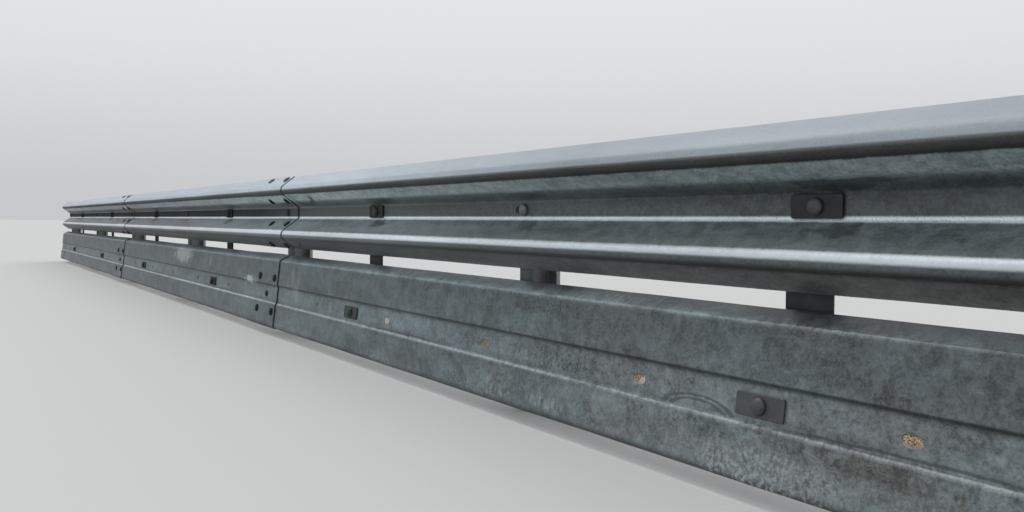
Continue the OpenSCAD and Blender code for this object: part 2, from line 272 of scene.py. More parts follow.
class Fold:
    """Mid-line of a folded sheet in a plane, read by the distance t along it.

    The line runs through the corners, and each inner corner is rounded by its
    radius, so heading is constant on a flat and grows evenly with t on a bend.
    """

    def __init__(self, corners, radii):
        corners = np.array(corners, float)
        runs = np.diff(corners, axis=0)
        lengths = np.hypot(runs[:, 0], runs[:, 1])
        headings = np.arctan2(runs[:, 1], runs[:, 0])
        turns = (np.diff(headings) + pi) % (2 * pi) - pi
        trims = np.array(radii) * np.tan(np.abs(turns) / 2)
        bends = np.array(radii) * np.abs(turns)
        count = len(lengths) + len(bends)
        pieces = np.zeros(count)
        pieces[0::2] = lengths - np.append(trims, 0) - np.append(0, trims)
        pieces[1::2] = bends
        self.curve = np.zeros(count)
        self.curve[1::2] = turns / bends
        self.heading = np.repeat(headings, 2)[:count]
        units = runs / lengths[:, None]
        self.points = np.zeros((count, 2))
        self.points[0::2] = corners[:-1] + units * np.append(0, trims)[:, None]
        self.points[1::2] = corners[1:-1] - units[:-1] * trims[:, None]
        self.knots = np.append(0, np.cumsum(pieces))
        self.length = self.knots[-1]

    def at(self, t):
        """Point and unit normal at t. On a bend of curvature c, the point moves by
        the integral of the heading's cosine and sine. The normal points left of the
        direction of travel."""
        t = np.asarray(t, float)
        k = np.clip(np.searchsorted(self.knots, t, side="right") - 1, 0, len(self.curve) - 1)
        s = t - self.knots[k]
        start, curve = self.heading[k], self.curve[k]
        heading = start + curve * s
        bent = np.abs(curve) > 0
        safe = np.where(bent, curve, 1)
        along = np.where(bent, (np.sin(heading) - np.sin(start)) / safe, s * np.cos(start))
        up = np.where(bent, (np.cos(start) - np.cos(heading)) / safe, s * np.sin(start))
        point = self.points[k] + np.stack([along, up], -1)
        return point, np.stack([-np.sin(heading), np.cos(heading)], -1)

    def at_height(self, height):
        """Distance along a line that only goes down to its point at a height."""
        t = np.linspace(0, self.length, 4000)
        return float(np.interp(-height, -self.at(t)[0][:, 1], t))

    def lines(self):
        """Distances that divide each bend by an angle and each flat by a length."""
        found = []
        for start, end, curve in zip(self.knots[:-1], self.knots[1:], self.curve):
            step = radians(BEND_STEP) / abs(curve) if curve else FLAT_STEP
            found.append(np.linspace(start, end, ceil((end - start) / step - 1e-6) + 1))
        return np.concatenate(found)


class Slot:
    """A hole in a sheet: its place along the run and along the fold, and its size. It
    takes up a patch of a few cells of the grid each way."""
    cells = 4

    def __init__(self, run, t, width, length=None, margin=0.008):
        self.run, self.t, self.radius = run, t, width / 2
        self.straight = ((length or width) - width) / 2
        self.reach = (self.straight + self.radius + margin, self.radius + margin)

    def lines(self, axis):
        """Grid lines round the hole, along the run (0) or the fold (1)."""
        middle = (self.run, self.t)[axis]
        return middle + self.reach[axis] * np.linspace(-1, 1, self.cells + 1)

    def edge(self, outer, grow):
        """Points of the hole's edge, each the nearest to one outer point: the middle
        line is clamped to the straight stretch, and the edge stands off it by the
        radius."""
        middle = np.clip(outer[:, 0], self.run - self.straight, self.run + self.straight)
        core = np.stack([middle, np.full(len(outer), self.t)], -1)
        away = outer - core
        return core + away / np.linalg.norm(away, axis=1)[:, None] * (self.radius + grow)


def merged(lines, fixed, low, high, closest):
    """Sorted grid lines: all fixed ones, and the others that keep clear of them."""
    fixed = np.unique(np.clip(np.round(np.concatenate([[low, high], *fixed]), 7), low, high))
    lines = np.unique(np.round(lines, 7))
    lines = lines[(lines > low) & (lines < high)]
    gap = np.abs(lines[:, None] - fixed[None, :]).min(1)
    return np.sort(np.concatenate([lines[gap > closest], fixed]))


class Shell:
    """A closed sheet over a grid of run and fold distances, with holes in it.

    place(run, t, off) gives the point of the sheet at an offset to the left of the
    fold line. The front skin is at +half, the rear skin at -half, and every edge is
    broken by a small chamfer.
    """
    chamfer = 0.0004

    def __init__(self, place, sheet, flipped):
        self.place, self.half, self.flipped = place, sheet / 2, flipped
        self.grid, self.offsets, self.quads = [], [], []
        self.count = 0

    def add(self, flat, offset):
        """Adds points given by run and fold distance, and returns their numbers."""
        self.grid.append(flat)
        self.offsets.append(np.full(len(flat), offset))
        first = self.count
        self.count += len(flat)
        return first + np.arange(len(flat))

    def strip(self, first, second):
        """Quads between two closed loops of as many points."""
        a, b = np.roll(first, -1), np.roll(second, -1)
        self.quads.append(np.stack([first, a, b, second], -1))

    def rim(self, front, rear, edge):
        """The chamfered thickness of the sheet between a front and a rear loop."""
        upper = self.add(edge, self.half - self.chamfer)
        lower = self.add(edge, self.chamfer - self.half)
        self.strip(front, upper)
        self.strip(upper, lower)
        self.strip(lower, rear)

    def build(self, runs, ts, slots):
        """Fills both skins, then each hole and the outer edge."""
        inset = self.chamfer
        rows, columns = len(runs), len(ts)
        a, b = np.meshgrid(np.clip(runs, runs[0] + inset, runs[-1] - inset),
                           np.clip(ts, ts[0] + inset, ts[-1] - inset), indexing="ij")
        flat = np.stack([a.ravel(), b.ravel()], -1)
        front = self.add(flat, self.half).reshape(rows, columns)
        rear = self.add(flat, -self.half).reshape(rows, columns)
        solid = np.ones((rows - 1, columns - 1), bool)
        for slot in slots:
            i = [int(np.argmin(np.abs(runs - slot.lines(0)[k]))) for k in (0, -1)]
            j = [int(np.argmin(np.abs(ts - slot.lines(1)[k]))) for k in (0, -1)]
            solid[i[0]:i[1], j[0]:j[1]] = False
            walk = loop_round(*i, *j)
            skin_front, skin_rear = front[walk], rear[walk]
            outer = flat.reshape(rows, columns, 2)[walk]
            for grow in (slot.radius * 0.25, inset):
                next_front = self.add(slot.edge(outer, grow), self.half)
                next_rear = self.add(slot.edge(outer, grow), -self.half)
                self.strip(skin_front, next_front)
                self.strip(next_rear, skin_rear)
                skin_front, skin_rear = next_front, next_rear
            self.rim(skin_front, skin_rear, slot.edge(outer, 0))
        i, j = np.nonzero(solid)
        self.quads.append(np.stack([front[i, j], front[i, j + 1],
                                    front[i + 1, j + 1], front[i + 1, j]], -1))
        self.quads.append(np.stack([rear[i, j], rear[i + 1, j],
                                    rear[i + 1, j + 1], rear[i, j + 1]], -1))
        walk = loop_round(0, rows - 1, 0, columns - 1)
        walk = (walk[0][::-1], walk[1][::-1])
        a, b = np.meshgrid(runs, ts, indexing="ij")
        self.rim(front[walk], rear[walk], np.stack([a[walk], b[walk]], -1))

    def mesh(self, name):
        """The mesh, with its run, fold distance and side kept as an attribute."""
        flat = np.concatenate(self.grid)
        offsets = np.concatenate(self.offsets)
        quads = np.concatenate(self.quads)
        if self.flipped:
            quads = quads[:, ::-1]
        mesh = mesh_of(name, self.place(flat[:, 0], flat[:, 1], offsets), quads)
        tag(mesh, "sheet", np.column_stack([flat, np.sign(offsets)]))
        return mesh


def loop_round(i0, i1, j0, j1):
    """Row and column numbers once round a rectangle of grid lines."""
    i = np.concatenate([np.full(j1 - j0, i0), np.arange(i0, i1), np.full(j1 - j0, i1),
                        np.arange(i1, i0, -1)])
    j = np.concatenate([np.arange(j0, j1), np.full(i1 - i0, j1), np.arange(j1, j0, -1),
                        np.full(i1 - i0, j0)])
    return i, j


def tag(mesh, name, values):
    """Keeps three numbers for each point of a mesh, for its finish to read."""
    attribute = mesh.attributes.new(name, "FLOAT_VECTOR", "POINT")
    attribute.data.foreach_set("vector", np.asarray(values, np.float32).ravel())


def mesh_of(name, points, faces, sharp=35):
    """A mesh from arrays of points and of faces, smooth but for its sharp edges."""
    mesh = bpy.data.meshes.new(name)
    mesh.from_pydata(points, [], faces)
    mesh.polygons.foreach_set("use_smooth", np.ones(len(mesh.polygons), bool))
    mesh.set_sharp_from_angle(angle=radians(sharp))
    mesh.update()
    return mesh


def piece(name, mesh, material, replaced=()):
    """Puts a mesh into the scene as a piece that rides on the guardrail."""
    obj = bpy.data.objects.new(name, mesh)
    bpy.context.scene.collection.objects.link(obj)
    mesh.materials.append(material)
    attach(obj, BODY)
    if replaced:
        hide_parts(*replaced)
    return obj


def add_solid(name, solid, material, replaced=()):
    """A small part or a group of them as a piece."""
    return piece(name, mesh_of(name, solid.points, solid.faces, sharp=30), material, replaced)


def smooth(x, low, high):
    """0 below low, 1 above high, and a smooth cubic between them."""
    s = np.clip((x - low) / (high - low), 0, 1)
    return s * s * (3 - 2 * s)


def middle_x(node):
    """X of the middle of a node."""
    low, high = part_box(node)
    return (low.x + high.x) / 2


def valley_plane():
    """Y of the mid-line of the rail valley, from the rear face of the rail."""
    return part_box(RAILS[0])[1].y - settings("rail").sheet / 2


def rail_centre():
    """Height of the middle of the rail."""
    low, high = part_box(RAILS[0])
    return (low.z + high.z) / 2


def in_row(x, point):
    """The place of a point given by its X and by (forward, up) from the valley."""
    return np.stack([x, valley_plane() - point[..., 0], rail_centre() + point[..., 1]], -1)


def rail_fold():
    """Mid-line of the W from its top edge down, as (forward, up) from the valley."""
    r = settings("rail")
    corner = r.wave - r.crown_radius + r.crown_radius / cos(r.slope)
    valley = r.crown_rise - corner / tan(r.slope)
    edge = corner - (r.half - r.crown_rise) * tan(r.slope)
    upper = [(edge, r.half), (corner, r.crown_rise), (0, valley)]
    lower = [(u, -z) for u, z in reversed(upper)]
    return Fold(upper + lower, [r.crown_radius, r.valley_radius, r.valley_radius, r.crown_radius])


def board_point(down, out=0.0):
    """A point of the board's face, by its way down the face and its rise off it."""
    b = settings("board")
    top = -settings("rail").half - b.gap - b.top_flange * sin(b.top_slope)
    return np.array([b.front + down * sin(b.lean) + out * cos(b.lean),
                     top - down * cos(b.lean) + out * sin(b.lean)])


def band_point(out):
    """A point of the middle of the recessed band, by its rise off the face's line."""
    b = settings("board")
    return board_point(b.band_start + b.band / 2, out)


def band_line(fold):
    """Distance along a fold to the height of the middle of the band."""
    return fold.at_height(band_point(-settings("board").depth)[1])


def face_normal():
    """Direction in which the board's face looks."""
    lean = settings("board").lean
    return np.array([0, -cos(lean), sin(lean)])


def board_fold():
    """Mid-line of the board from the rear edge of its top flange down to its foot."""
    b = settings("board")
    end = b.band_start + b.band
    foot = board_point(b.face)
    corners = [board_point(0) + b.top_flange * np.array([-cos(b.top_slope), sin(b.top_slope)]),
               board_point(0), board_point(b.band_start),
               board_point(b.band_start + b.ledge, -b.depth), board_point(end - b.ledge, -b.depth),
               board_point(end), foot, foot - np.array([b.foot, 0])]
    return Fold(corners, [b.radius] + [b.ledge_radius] * 4 + [b.radius])


def bracket_fold():
    """Mid-line of a bracket: plate behind the valley, arm forward, tongue down."""
    p, b = settings("post"), settings("board")
    behind = -b.depth - (b.sheet + p.bracket_sheet) / 2
    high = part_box(BRACKETS[0])[1]
    back = valley_plane() - (high.y - p.bracket_sheet / 2)
    middle = b.band_start + b.band / 2
    arm = board_point(middle - p.arm_rise, behind)
    return Fold([(back, high.z - rail_centre()), (back, arm[1]), arm,
                 board_point(middle + p.tongue, behind)], [p.bracket_radius] * 2)


def post_fold():
    """Mid-line of a post's C in plan, from the end of its front lip to its rear lip."""
    p = settings("post")
    low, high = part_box(POSTS[0])
    half = (high.x - low.x - p.sheet) / 2
    rear = high.y - low.y - p.sheet
    lip = p.lip - p.sheet / 2
    return Fold([(half, lip), (half, 0), (-half, 0), (-half, rear), (half, rear), (half, rear - lip)],
                [p.radius] * 4)


def along_row(fold, rise):
    """Places a fold of (forward, up) along X, pushed off its plane by rise(x, t)."""
    def place(x, t, off):
        point, normal = fold.at(t)
        return in_row(x, point + normal * (off + rise(x, t))[:, None])
    return place


def up_post(fold, x, y):
    """Places a fold of (X, Y) up along Z, about a post at x and y."""
    def place(z, t, off):
        point, normal = fold.at(t)
        point = point + normal * off[:, None]
        return np.stack([x + point[:, 0], y + point[:, 1], z], -1)
    return place


def on_sheet(fold, x, t, off):
    """A point of a sheet that runs along the row, and the normal there."""
    point, normal = fold.at(t)
    return in_row(x, point + normal * off), np.array([0, -normal[0], normal[1]])


def unevenness(x, t, amount, seat):
    """Long shallow hollows of rolled steel, none where the sheet is bolted down:
    three slow sines along the run, shifted by the distance round the fold, less
    their height, and nothing near the seat."""
    waves = (0.5 * np.sin(7.3 * x + 9 * t + 0.4) + 0.3 * np.sin(16.1 * x - 13 * t + 2.1)
             + 0.2 * np.sin(31 * x + 21 * t + 4.4))
    return amount * (waves - 1) * smooth(np.abs(t - seat), 0.02, 0.07)


def dent(x, t, middle, reach, depth):
    """A rounded press mark: a Gaussian hollow in run and fold distance."""
    return -depth * np.exp(-((x - middle[0]) / reach[0]) ** 2 - ((t - middle[1]) / reach[1]) ** 2)


def panel_rise(sheet, lap_start, wave, seat, dents):
    """Stand-off of a lapping panel: it leaves its plane smoothly before the lap, by
    one sheet, and has its unevenness and dents."""
    ease = 0.28

    def rise(x, t):
        lift = sheet * smooth(x, lap_start - ease, lap_start)
        marks = sum((dent(x, t, *d) for d in dents), np.zeros_like(x))
        return lift + unevenness(x, t, wave, seat) + marks
    return rise


def rail_slots(fold, low, high):
    """Eight splice slots about each lap, and the row of valley slots."""
    r = settings("rail")
    splice = [r.half - r.edge, 2 * r.crown_rise - r.half + r.edge]
    rows = [fold.at_height(s * z) for z in splice for s in (1, -1)]
    first, last = low + r.lap / 2, high - r.lap / 2
    found = [Slot(lap + side * r.columns / 2, t, r.slot_width, r.slot_length, margin=0.0025)
             for lap in (first, last) for side in (-1, 1) for t in rows]
    return found + [Slot(x, fold.length / 2, r.valley_slot, r.valley_length, margin=0.006)
                    for x in np.linspace(first, last, 5)]


def board_slots(fold, low, high):
    """Five splice holes about each lap, and the long slots of the band."""
    b = settings("board")
    first, last = low + b.lap / 2, high - b.lap / 2
    middle, band = b.band_start + b.band / 2, band_line(fold)
    rows = [fold.at_height(board_point(middle + s * b.rows / 2)[1]) for s in (-1, 1)]
    found = [Slot(lap + side * b.columns / 2, t, b.hole) for lap in (first, last)
             for side in (-1, 1) for t in rows]
    found += [Slot(lap, band, b.hole) for lap in (first, last)]
    return found + [Slot(x, band, b.slot_width, b.slot_length) for x in band_stations(first, last)]


def band_stations(first, last):
    """Places of the long slots: midway between the laps, at the two brackets and
    beside each of these."""
    quarter = (last - first) / 4
    brackets = [first + quarter, last - quarter]
    return sorted([(first + last) / 2] + [
        x + k * settings("board").slot_pitch for x in brackets for k in (-1, 0, 1)])


def sheet_piece(name, fold, place, sheet, span, slots, material, replaced,
                flipped=False, more=()):
    """One folded sheet as a finished piece."""
    runs = merged(np.arange(*span, RUN_STEP), [s.lines(0) for s in slots] + list(more),
                  *span, closest=RUN_STEP / 5)
    ts = merged(fold.lines(), [s.lines(1) for s in slots], 0, fold.length, closest=0.0009)
    shell = Shell(place, sheet, flipped)
    shell.build(runs, ts, slots)
    return piece(name, shell.mesh(name), material, [replaced])


def add_panels(nodes, fold, sizes, slots, wave, seat, material, dents=(), more=()):
    """Lapped panels along the row. The dents and the added grid lines are the last
    panel's."""
    for node in nodes:
        low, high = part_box(node)
        last = node == nodes[-1]
        rise = panel_rise(sizes.sheet, high.x - sizes.lap, wave, seat, dents if last else ())
        sheet_piece(node + "_sheet", fold, along_row(fold, rise), sizes.sheet, (low.x, high.x),
                    slots(fold, low.x, high.x), material, node, more=more if last else ())


def both_ways(operation):
    """An operator of a wire with another value, and its reflected form."""
    return (lambda wire, other: wire.tree.math(operation, wire, other),
            lambda wire, other: wire.tree.math(operation, other, wire))


class Wire:
    """An output socket of a node tree. A sum or product on it adds a Math node."""

    def __init__(self, tree, socket):
        self.tree, self.socket = tree, socket

    __add__, __radd__ = both_ways("ADD")
    __sub__, __rsub__ = both_ways("SUBTRACT")
    __mul__, __rmul__ = both_ways("MULTIPLY")
    __truediv__, __rtruediv__ = both_ways("DIVIDE")


class Tree:
    """A node tree in the making, of a material or of the world."""

    def __init__(self, owner):
        owner.use_nodes = True
        self.tree = owner.node_tree
        self.tree.nodes.clear()

    def made(self, kind, settings=None, inputs=None):
        """Makes a node: its settings first, with the stops of a ramp among them, then
        the values or links of its sockets."""
        node = self.tree.nodes.new(kind)
        for key, value in (settings or {}).items():
            if key == "stops":
                set_stops(node.color_ramp.elements, value)
            else:
                setattr(node, key, value)
        for key, value in (inputs or {}).items():
            if isinstance(value, Wire):
                self.tree.links.new(value.socket, node.inputs[key])
            else:
                node.inputs[key].default_value = value
        return node

    def node(self, kind, settings=None, inputs=None, output=0):
        """A wire from one output of a new node."""
        return Wire(self, self.made(kind, settings, inputs).outputs[output])

    def math(self, operation, *values):
        """A Math node on one or two values."""
        return self.node("ShaderNodeMath", {"operation": operation}, dict(enumerate(values)))

    def vector(self, operation, *values, output=0, **named):
        """A Vector Math node."""
        inputs = {**dict(enumerate(values)), **named}
        return self.node("ShaderNodeVectorMath", {"operation": operation}, inputs, output)

    def split(self, vector):
        """The three parts of a vector."""
        return [Wire(self, part) for part in self.made(
            "ShaderNodeSeparateXYZ", None, {0: vector}).outputs]

    def kept(self, name):
        """The three numbers that a mesh keeps for each point."""
        return self.split(self.node("ShaderNodeAttribute", {"attribute_name": name}, None, 1))

    def place(self):
        """Coordinates of the object itself."""
        return self.node("ShaderNodeTexCoord", None, None, 3)

    def joined(self, x, y, z=0.0):
        """A vector of three values."""
        return self.node("ShaderNodeCombineXYZ", None, {0: x, 1: y, 2: z})

    def mix(self, share, first, second):
        """A colour between two others."""
        return self.node("ShaderNodeMix", {"data_type": "RGBA"},
                         {0: share, 6: colour(first), 7: colour(second)}, 2)

    def scaled(self, tone, share):
        """A colour made lighter or darker."""
        return self.vector("SCALE", tone, Scale=share)

    def ramp(self, value, stops):
        """A grey that runs from stop to stop."""
        return self.split(self.node("ShaderNodeValToRGB", {"stops": stops}, {0: value}))[0]

    def between(self, value, low, high, out_low=0.0, out_high=1.0):
        """0 below low, 1 above high, and a smooth step between them."""
        return self.node("ShaderNodeMapRange", {"interpolation_type": "SMOOTHSTEP"},
                         {0: value, 1: low, 2: high, 3: out_low, 4: out_high})

    def strip(self, value, low, high, soft):
        """1 from low to high, fading to 0 over a soft distance at each side."""
        return self.between(value, low - soft, low + soft) * self.between(
            value, high - soft, high + soft, 1.0, 0.0)

    def stretched(self, vector, x, y, z=1.0):
        """A vector with its parts multiplied."""
        return self.vector("MULTIPLY", vector, (x, y, z))

    def noise(self, place, scale, detail=4.0, rough=0.55, warp=0.0):
        """Fractal noise about 0.5, at one scale or at one along X and one along Y."""
        if isinstance(scale, tuple):
            place, scale = self.stretched(place, *scale), 1
        return self.node("ShaderNodeTexNoise", None, {
            "Vector": place, "Scale": scale, "Detail": detail, "Roughness": rough,
            "Distortion": warp})

    def patches(self, low, high, *noise):
        """1 where a noise is above high and 0 where it is below low."""
        return self.between(self.noise(*noise), low, high)

    def mottled(self, parts):
        """1 in the mean, and more or less by an amount of each noise, which is spread
        from its low bound to 1 less that."""
        level = 1
        for amount, noise, low in parts:
            level = level + amount * (self.between(noise, low, 1 - low) - 0.5)
        return level

    def nearest(self, value, first, pitch):
        """Distance to the nearest of a row of places, one every pitch."""
        share = self.math("FRACT", (value - (first - pitch / 2)) / pitch)
        return self.math("ABSOLUTE", share - 0.5) * pitch

    def ellipses(self, at, places, look):
        """Greatest of several marks, each given by its run and fold distance and its
        two half widths. A mark's look depends on the distance, 0 in its middle and 1
        on its ellipse, and on the half width across."""
        found = []
        for x, height, along, across in places:
            off = self.vector("SUBTRACT", at, (x, height, 0))
            far = self.vector("LENGTH", self.stretched(off, 1 / along, 1 / across), output=1)
            found.append(look(far, across))
        return reduce(lambda first, second: self.math("MAXIMUM", first, second), found)

    def blobs(self, run, t, shake, places):
        """Soft ellipses: 1 in the middle, 0 outside, with a shaken edge."""
        return self.ellipses(self.joined(run, t), places, lambda far, across: self.between(
            far + shake, 0.55, 1.05, 1, 0))

    def rings(self, run, t, shake, places, thick):
        """Lines round ellipses: the distance from each one is that of the ellipse less
        1, times the half width across."""
        return self.ellipses(self.joined(run, t + shake), places, lambda far, across: self.between(
            self.math("ABSOLUTE", far - 1) * across, thick / 3, thick, 1, 0))

    def layered(self, base, layers):
        """A colour with others laid over it in turn, each by its share."""
        for share, tone in layers:
            base = self.mix(share, base, tone)
        return base

    def surface(self, base, metal, rough, height, strength, depth):
        """The sockets of a surface with a bump of some strength and depth."""
        bump = self.node("ShaderNodeBump", None, {
            "Strength": strength, "Distance": depth, "Height": height})
        return {"Base Color": base, "Metallic": metal, "Roughness": rough, "Normal": bump}


def set_stops(elements, stops):
    """Gives a ramp its greys, each at its place from 0 to 1."""
    while len(elements) < len(stops):
        elements.new(1.0)
    for element, (place, grey) in zip(elements, stops):
        element.position, element.color = place, (grey, grey, grey, 1)


def colour(value):
    """A wire as it is, and three numbers as a colour with alpha."""
    return value if isinstance(value, Wire) else (*value, 1.0)


def finish(name, paint):
    """A material whose paint(tree) returns the sockets of its surface."""
    material = bpy.data.materials.new(name)
    tree = Tree(material)
    surface = tree.node("ShaderNodeBsdfPrincipled", None, paint(tree))
    tree.made("ShaderNodeOutputMaterial", None, {0: surface})
    return material


def sheet_place(tree):
    """Run and fold distance of a sheet, 1 on its front, and its face laid out flat."""
    run, t, side = tree.kept("sheet")
    return run, t, tree.between(side, -0.2, 0.2), tree.joined(run, t, side * 3)


def tone_along(tree, fold, place, stops):
    """Tone by fold distance. Each stop is a part of the fold, how far along it the
    stop lies, and the tone there."""
    knots = fold.knots
    points = [(knots[part] + share * (knots[part + 1] - knots[part]), tone)
              for part, share, tone in stops]
    return 2 * tree.ramp(place / fold.length, [(t / fold.length, tone / 2) for t, tone in points])


def rail_paint(tree):
    """Weathered zinc of the rail, with its light and shade painted in. The tone follows the
    fold distance: painted highlights on the top slope, the lower crown and the foot of
    the valley, where the zinc shows, and painted shade under the crowns and in the valley,
    over road film on the rest. Its bounds are shaken by noise, and the far side is dull zinc."""
    c = settings("finish")
    fold = rail_fold()
    crown, side, bend, valley, foot, rise, low_crown, hem = fold.knots[1:9]
    run, t, front, flat = sheet_place(tree)
    road = run + (1 - front) * OUT_OF_REACH
    cloud = tree.noise(flat, (1.7, 8), 4, 0.6)
    blot = tree.noise(flat, (26, 36), 6, 0.68, 0.7)
    fine = tree.noise(flat, 150, 4, 0.65, 0.5)
    shake = (blot - 0.5) * 0.005 + (fine - 0.5) * 0.003
    shaken = t + shake * (1 - tree.strip(t, bend, rise + 0.004, 0.004))
    # Painted light and shade across the fold, from the top edge down: highlights on the top slope, the
    # valley line and the lower crown, and shade under the crowns and in the valley
    tone = tone_along(tree, fold, shaken, [
        (0, 0.0, 0.46), (1, 0.1, 0.46), (1, 0.3, 0.62), (1, 0.41, 0.74), (1, 0.47, 0.4),
        (1, 0.6, 0.13), (1, 0.98, 0.03), (2, 0.045, 0.74), (2, 0.5, 0.92), (2, 0.6, 0.56),
        (2, 0.66, 0.34), (2, 0.85, 0.22), (3, 0.2, 0.26), (4, 0.0, 0.17), (4, 0.14, 0.2),
        (4, 0.5, 0.25), (4, 0.93, 0.27), (5, 0.2, 1.7), (5, 0.98, 1.75), (6, 0.05, 0.5),
        (6, 0.4, 0.46), (6, 0.8, 0.29), (6, 0.985, 0.22), (7, 0.2, 1.2), (7, 0.39, 1.2),
        (7, 0.5, 0.28), (7, 0.65, 0.24), (7, 0.8, 0.07), (7, 0.94, 0.05), (8, 0.03, 0.2),
        (8, 0.12, 0.29), (8, 1.0, 0.37)])
    # Painted sheen: the far part of the row is painted lighter, most on the top slope, and its valley
    # and hem are painted darker as shade
    far = tree.between(run, 2.6, 4.6, 1, 0)
    edge = crown + 0.46 * (side - crown)
    shaded = (tree.strip(t, valley, foot - 0.002, 0.003)
              + tree.between(t, hem - 0.002, hem + 0.004) * 0.8)
    tone = tone * (1 + far * (0.55 - shaded * 0.9 + tree.between(t, edge - 0.01, edge, 0.25, 0)))
    # The band of the lower crown that holds its painted highlight, capped lower towards the far end
    washed_and_highlit = (low_crown, low_crown + 0.021)
    far_crown = tree.between(run, 3.9, 3.1, 0, 0.42) * tree.strip(t, *washed_and_highlit, 0.002)
    tone = tree.math("MINIMUM", tone, 1.8 - far_crown)
    dipped = tree.strip(t, valley, foot, 0.003) * tree.between(run, 2.6, 1.4)
    # Painted shade under the upper crown, stronger towards the far end, and in the far valley
    crown_shade = tree.strip(t, side, foot, 0.003) * tree.between(run, -1, 1.8, 0.25, 0) + dipped * 0.3
    tone = front * tone * (1 - crown_shade) + (1 - front) * 0.5
    # Bright zinc where the highlights are painted, on the top slope, the valley line and the lower
    # crown, partly clean zinc there, and the film of road dirt on the rest
    clean_and_highlit = (tree.between(shaken, edge - 0.002, edge + 0.002, 1, 0)
             + tree.strip(shaken, foot - 0.001, rise + 0.001, 0.001)
             + tree.strip(shaken, *washed_and_highlit, 0.0015))
    film = 1 - clean_and_highlit
    # Brown dust tints the bands of painted shade under the crown edge and on the lower outer slope
    under = tree.strip(t, edge, side - 0.002, 0.004) + tree.between(t, hem - 0.02, hem)
    greyed = tree.mix(tree.between(run, 2.2, 0, 0, 0.7), c.film, FAR_FILM)
    greyed = tree.mix(dipped, greyed, FAR_VALLEY)
    dirty = tree.mix(under, greyed, tree.mix(far, c.dust, FAR_DUST))
    base = tree.mix(film, tree.mix(tree.between(t, valley, foot), c.zinc, LINE_HIGHLIGHT_ZINC), dirty)
    contrast = 0.1 + 0.32 * film
    base = tree.scaled(base, tone * tree.mottled([
        (contrast, blot, NOISE_LOW), (contrast * 0.7, fine, NOISE_LOW),
        (0.12 + 0.2 * film, cloud, 0.35)]))
    # Flecks, spots, painted reflections of the washers and bolts beside them, painted shade round the
    # press mark, and the dark lines of the seams
    slanted = tree.joined(run * 60 + t * 75, t * 22 - run * 16)
    fleck = tree.patches(0.55, 0.7, slanted, 0.7, 3, 0.6) * tree.strip(
        t, side + 0.004, bend - 0.02, 0.01)
    plum = tree.patches(0.5, 0.62, flat, 95, 5, 0.7, 0.6) * tree.strip(
        t, valley, foot - 0.004, 0.006) * (1 - dipped)
    speck = tree.patches(0.56, 0.63, flat, 260, 3, 0.7)
    on_line = tree.strip(t, foot - 0.003, rise + 0.003, 0.002)
    ragged = (blot - 0.5) * 2
    # Painted reflections of the plate washers and post bolts in the slopes above and below them
    fitting_reflection = tree.blobs(tree.nearest(run, BAY / 2 + 0.06, BAY), t, ragged, [
        (0.02, 0.178, 0.08, 0.018), (0.04, 0.168, 0.085, 0.01), (0.01, 0.277, 0.06, 0.022)])
    fitting_reflection = fitting_reflection * tree.between(run, 3.4, 4.4, 1, 0.7)
    fitting_reflection = fitting_reflection + 0.6 * tree.blobs(tree.nearest(run, 0.05, BAY), t, ragged, [
        (0.03, 0.17, 0.09, 0.014), (0.02, 0.275, 0.03, 0.02)])
    # Painted shade: a dark line round the press mark and a curved one on the lower outer slope, and
    # dark spots beside the press mark
    dent_shade = tree.rings(road, t, (blot - 0.5) * 0.01, [(2.3, 0.136, 0.115, 0.046)], 0.014)
    dent_shade = dent_shade * tree.strip(t, 0.128, 0.2, 0.012) * tree.between(road, 2.18, 2.24, 0.5, 1)
    dent_shade = dent_shade + 0.6 * tree.blobs(road, t, ragged, [
        (2.27, 0.178, 0.06, 0.012), (2.19, 0.122, 0.025, 0.008)])
    dent_shade = dent_shade + tree.rings(road, t, 0, [(2.06, 0.37, 0.27, 0.075)], 0.004) * tree.strip(
        t, 0.392, 0.436, 0.004) * tree.between(run, 2.14, 2.16)
    # A dark line beside each lap end: painted shade of the gap under the lap, and dirt in it
    seam = tree.nearest(run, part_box(RAILS[0])[1].x + 0.003, 2 * BAY) + (blot - 0.5) * 0.012
    seam = seam * (1 - tree.strip(t, 0.14, foot, 0.006) * 0.6)
    base = tree.layered(base, [
        (fleck * 0.2, FLECK), (plum * 0.6, PLUM), (speck * (0.08 + 0.5 * on_line), SPECK),
        (fitting_reflection * 0.62 * front, FITTING_REFLECTION), (tree.math("MINIMUM", dent_shade * 0.75, 0.75), DENT_SHADE),
        (tree.between(seam, 0.002, 0.009, 0.92, 0) * front, RAIL_SEAM)])
    rough = (0.44 + 0.1 * tree.between(blot, 0.35, 0.7) + 0.2 * tree.strip(t, crown, side, 0.01)
             + dipped * 0.4)
    return tree.surface(base, 0.45, rough, blot * 0.5 + fine * 0.15, 0.1, 0.0015)


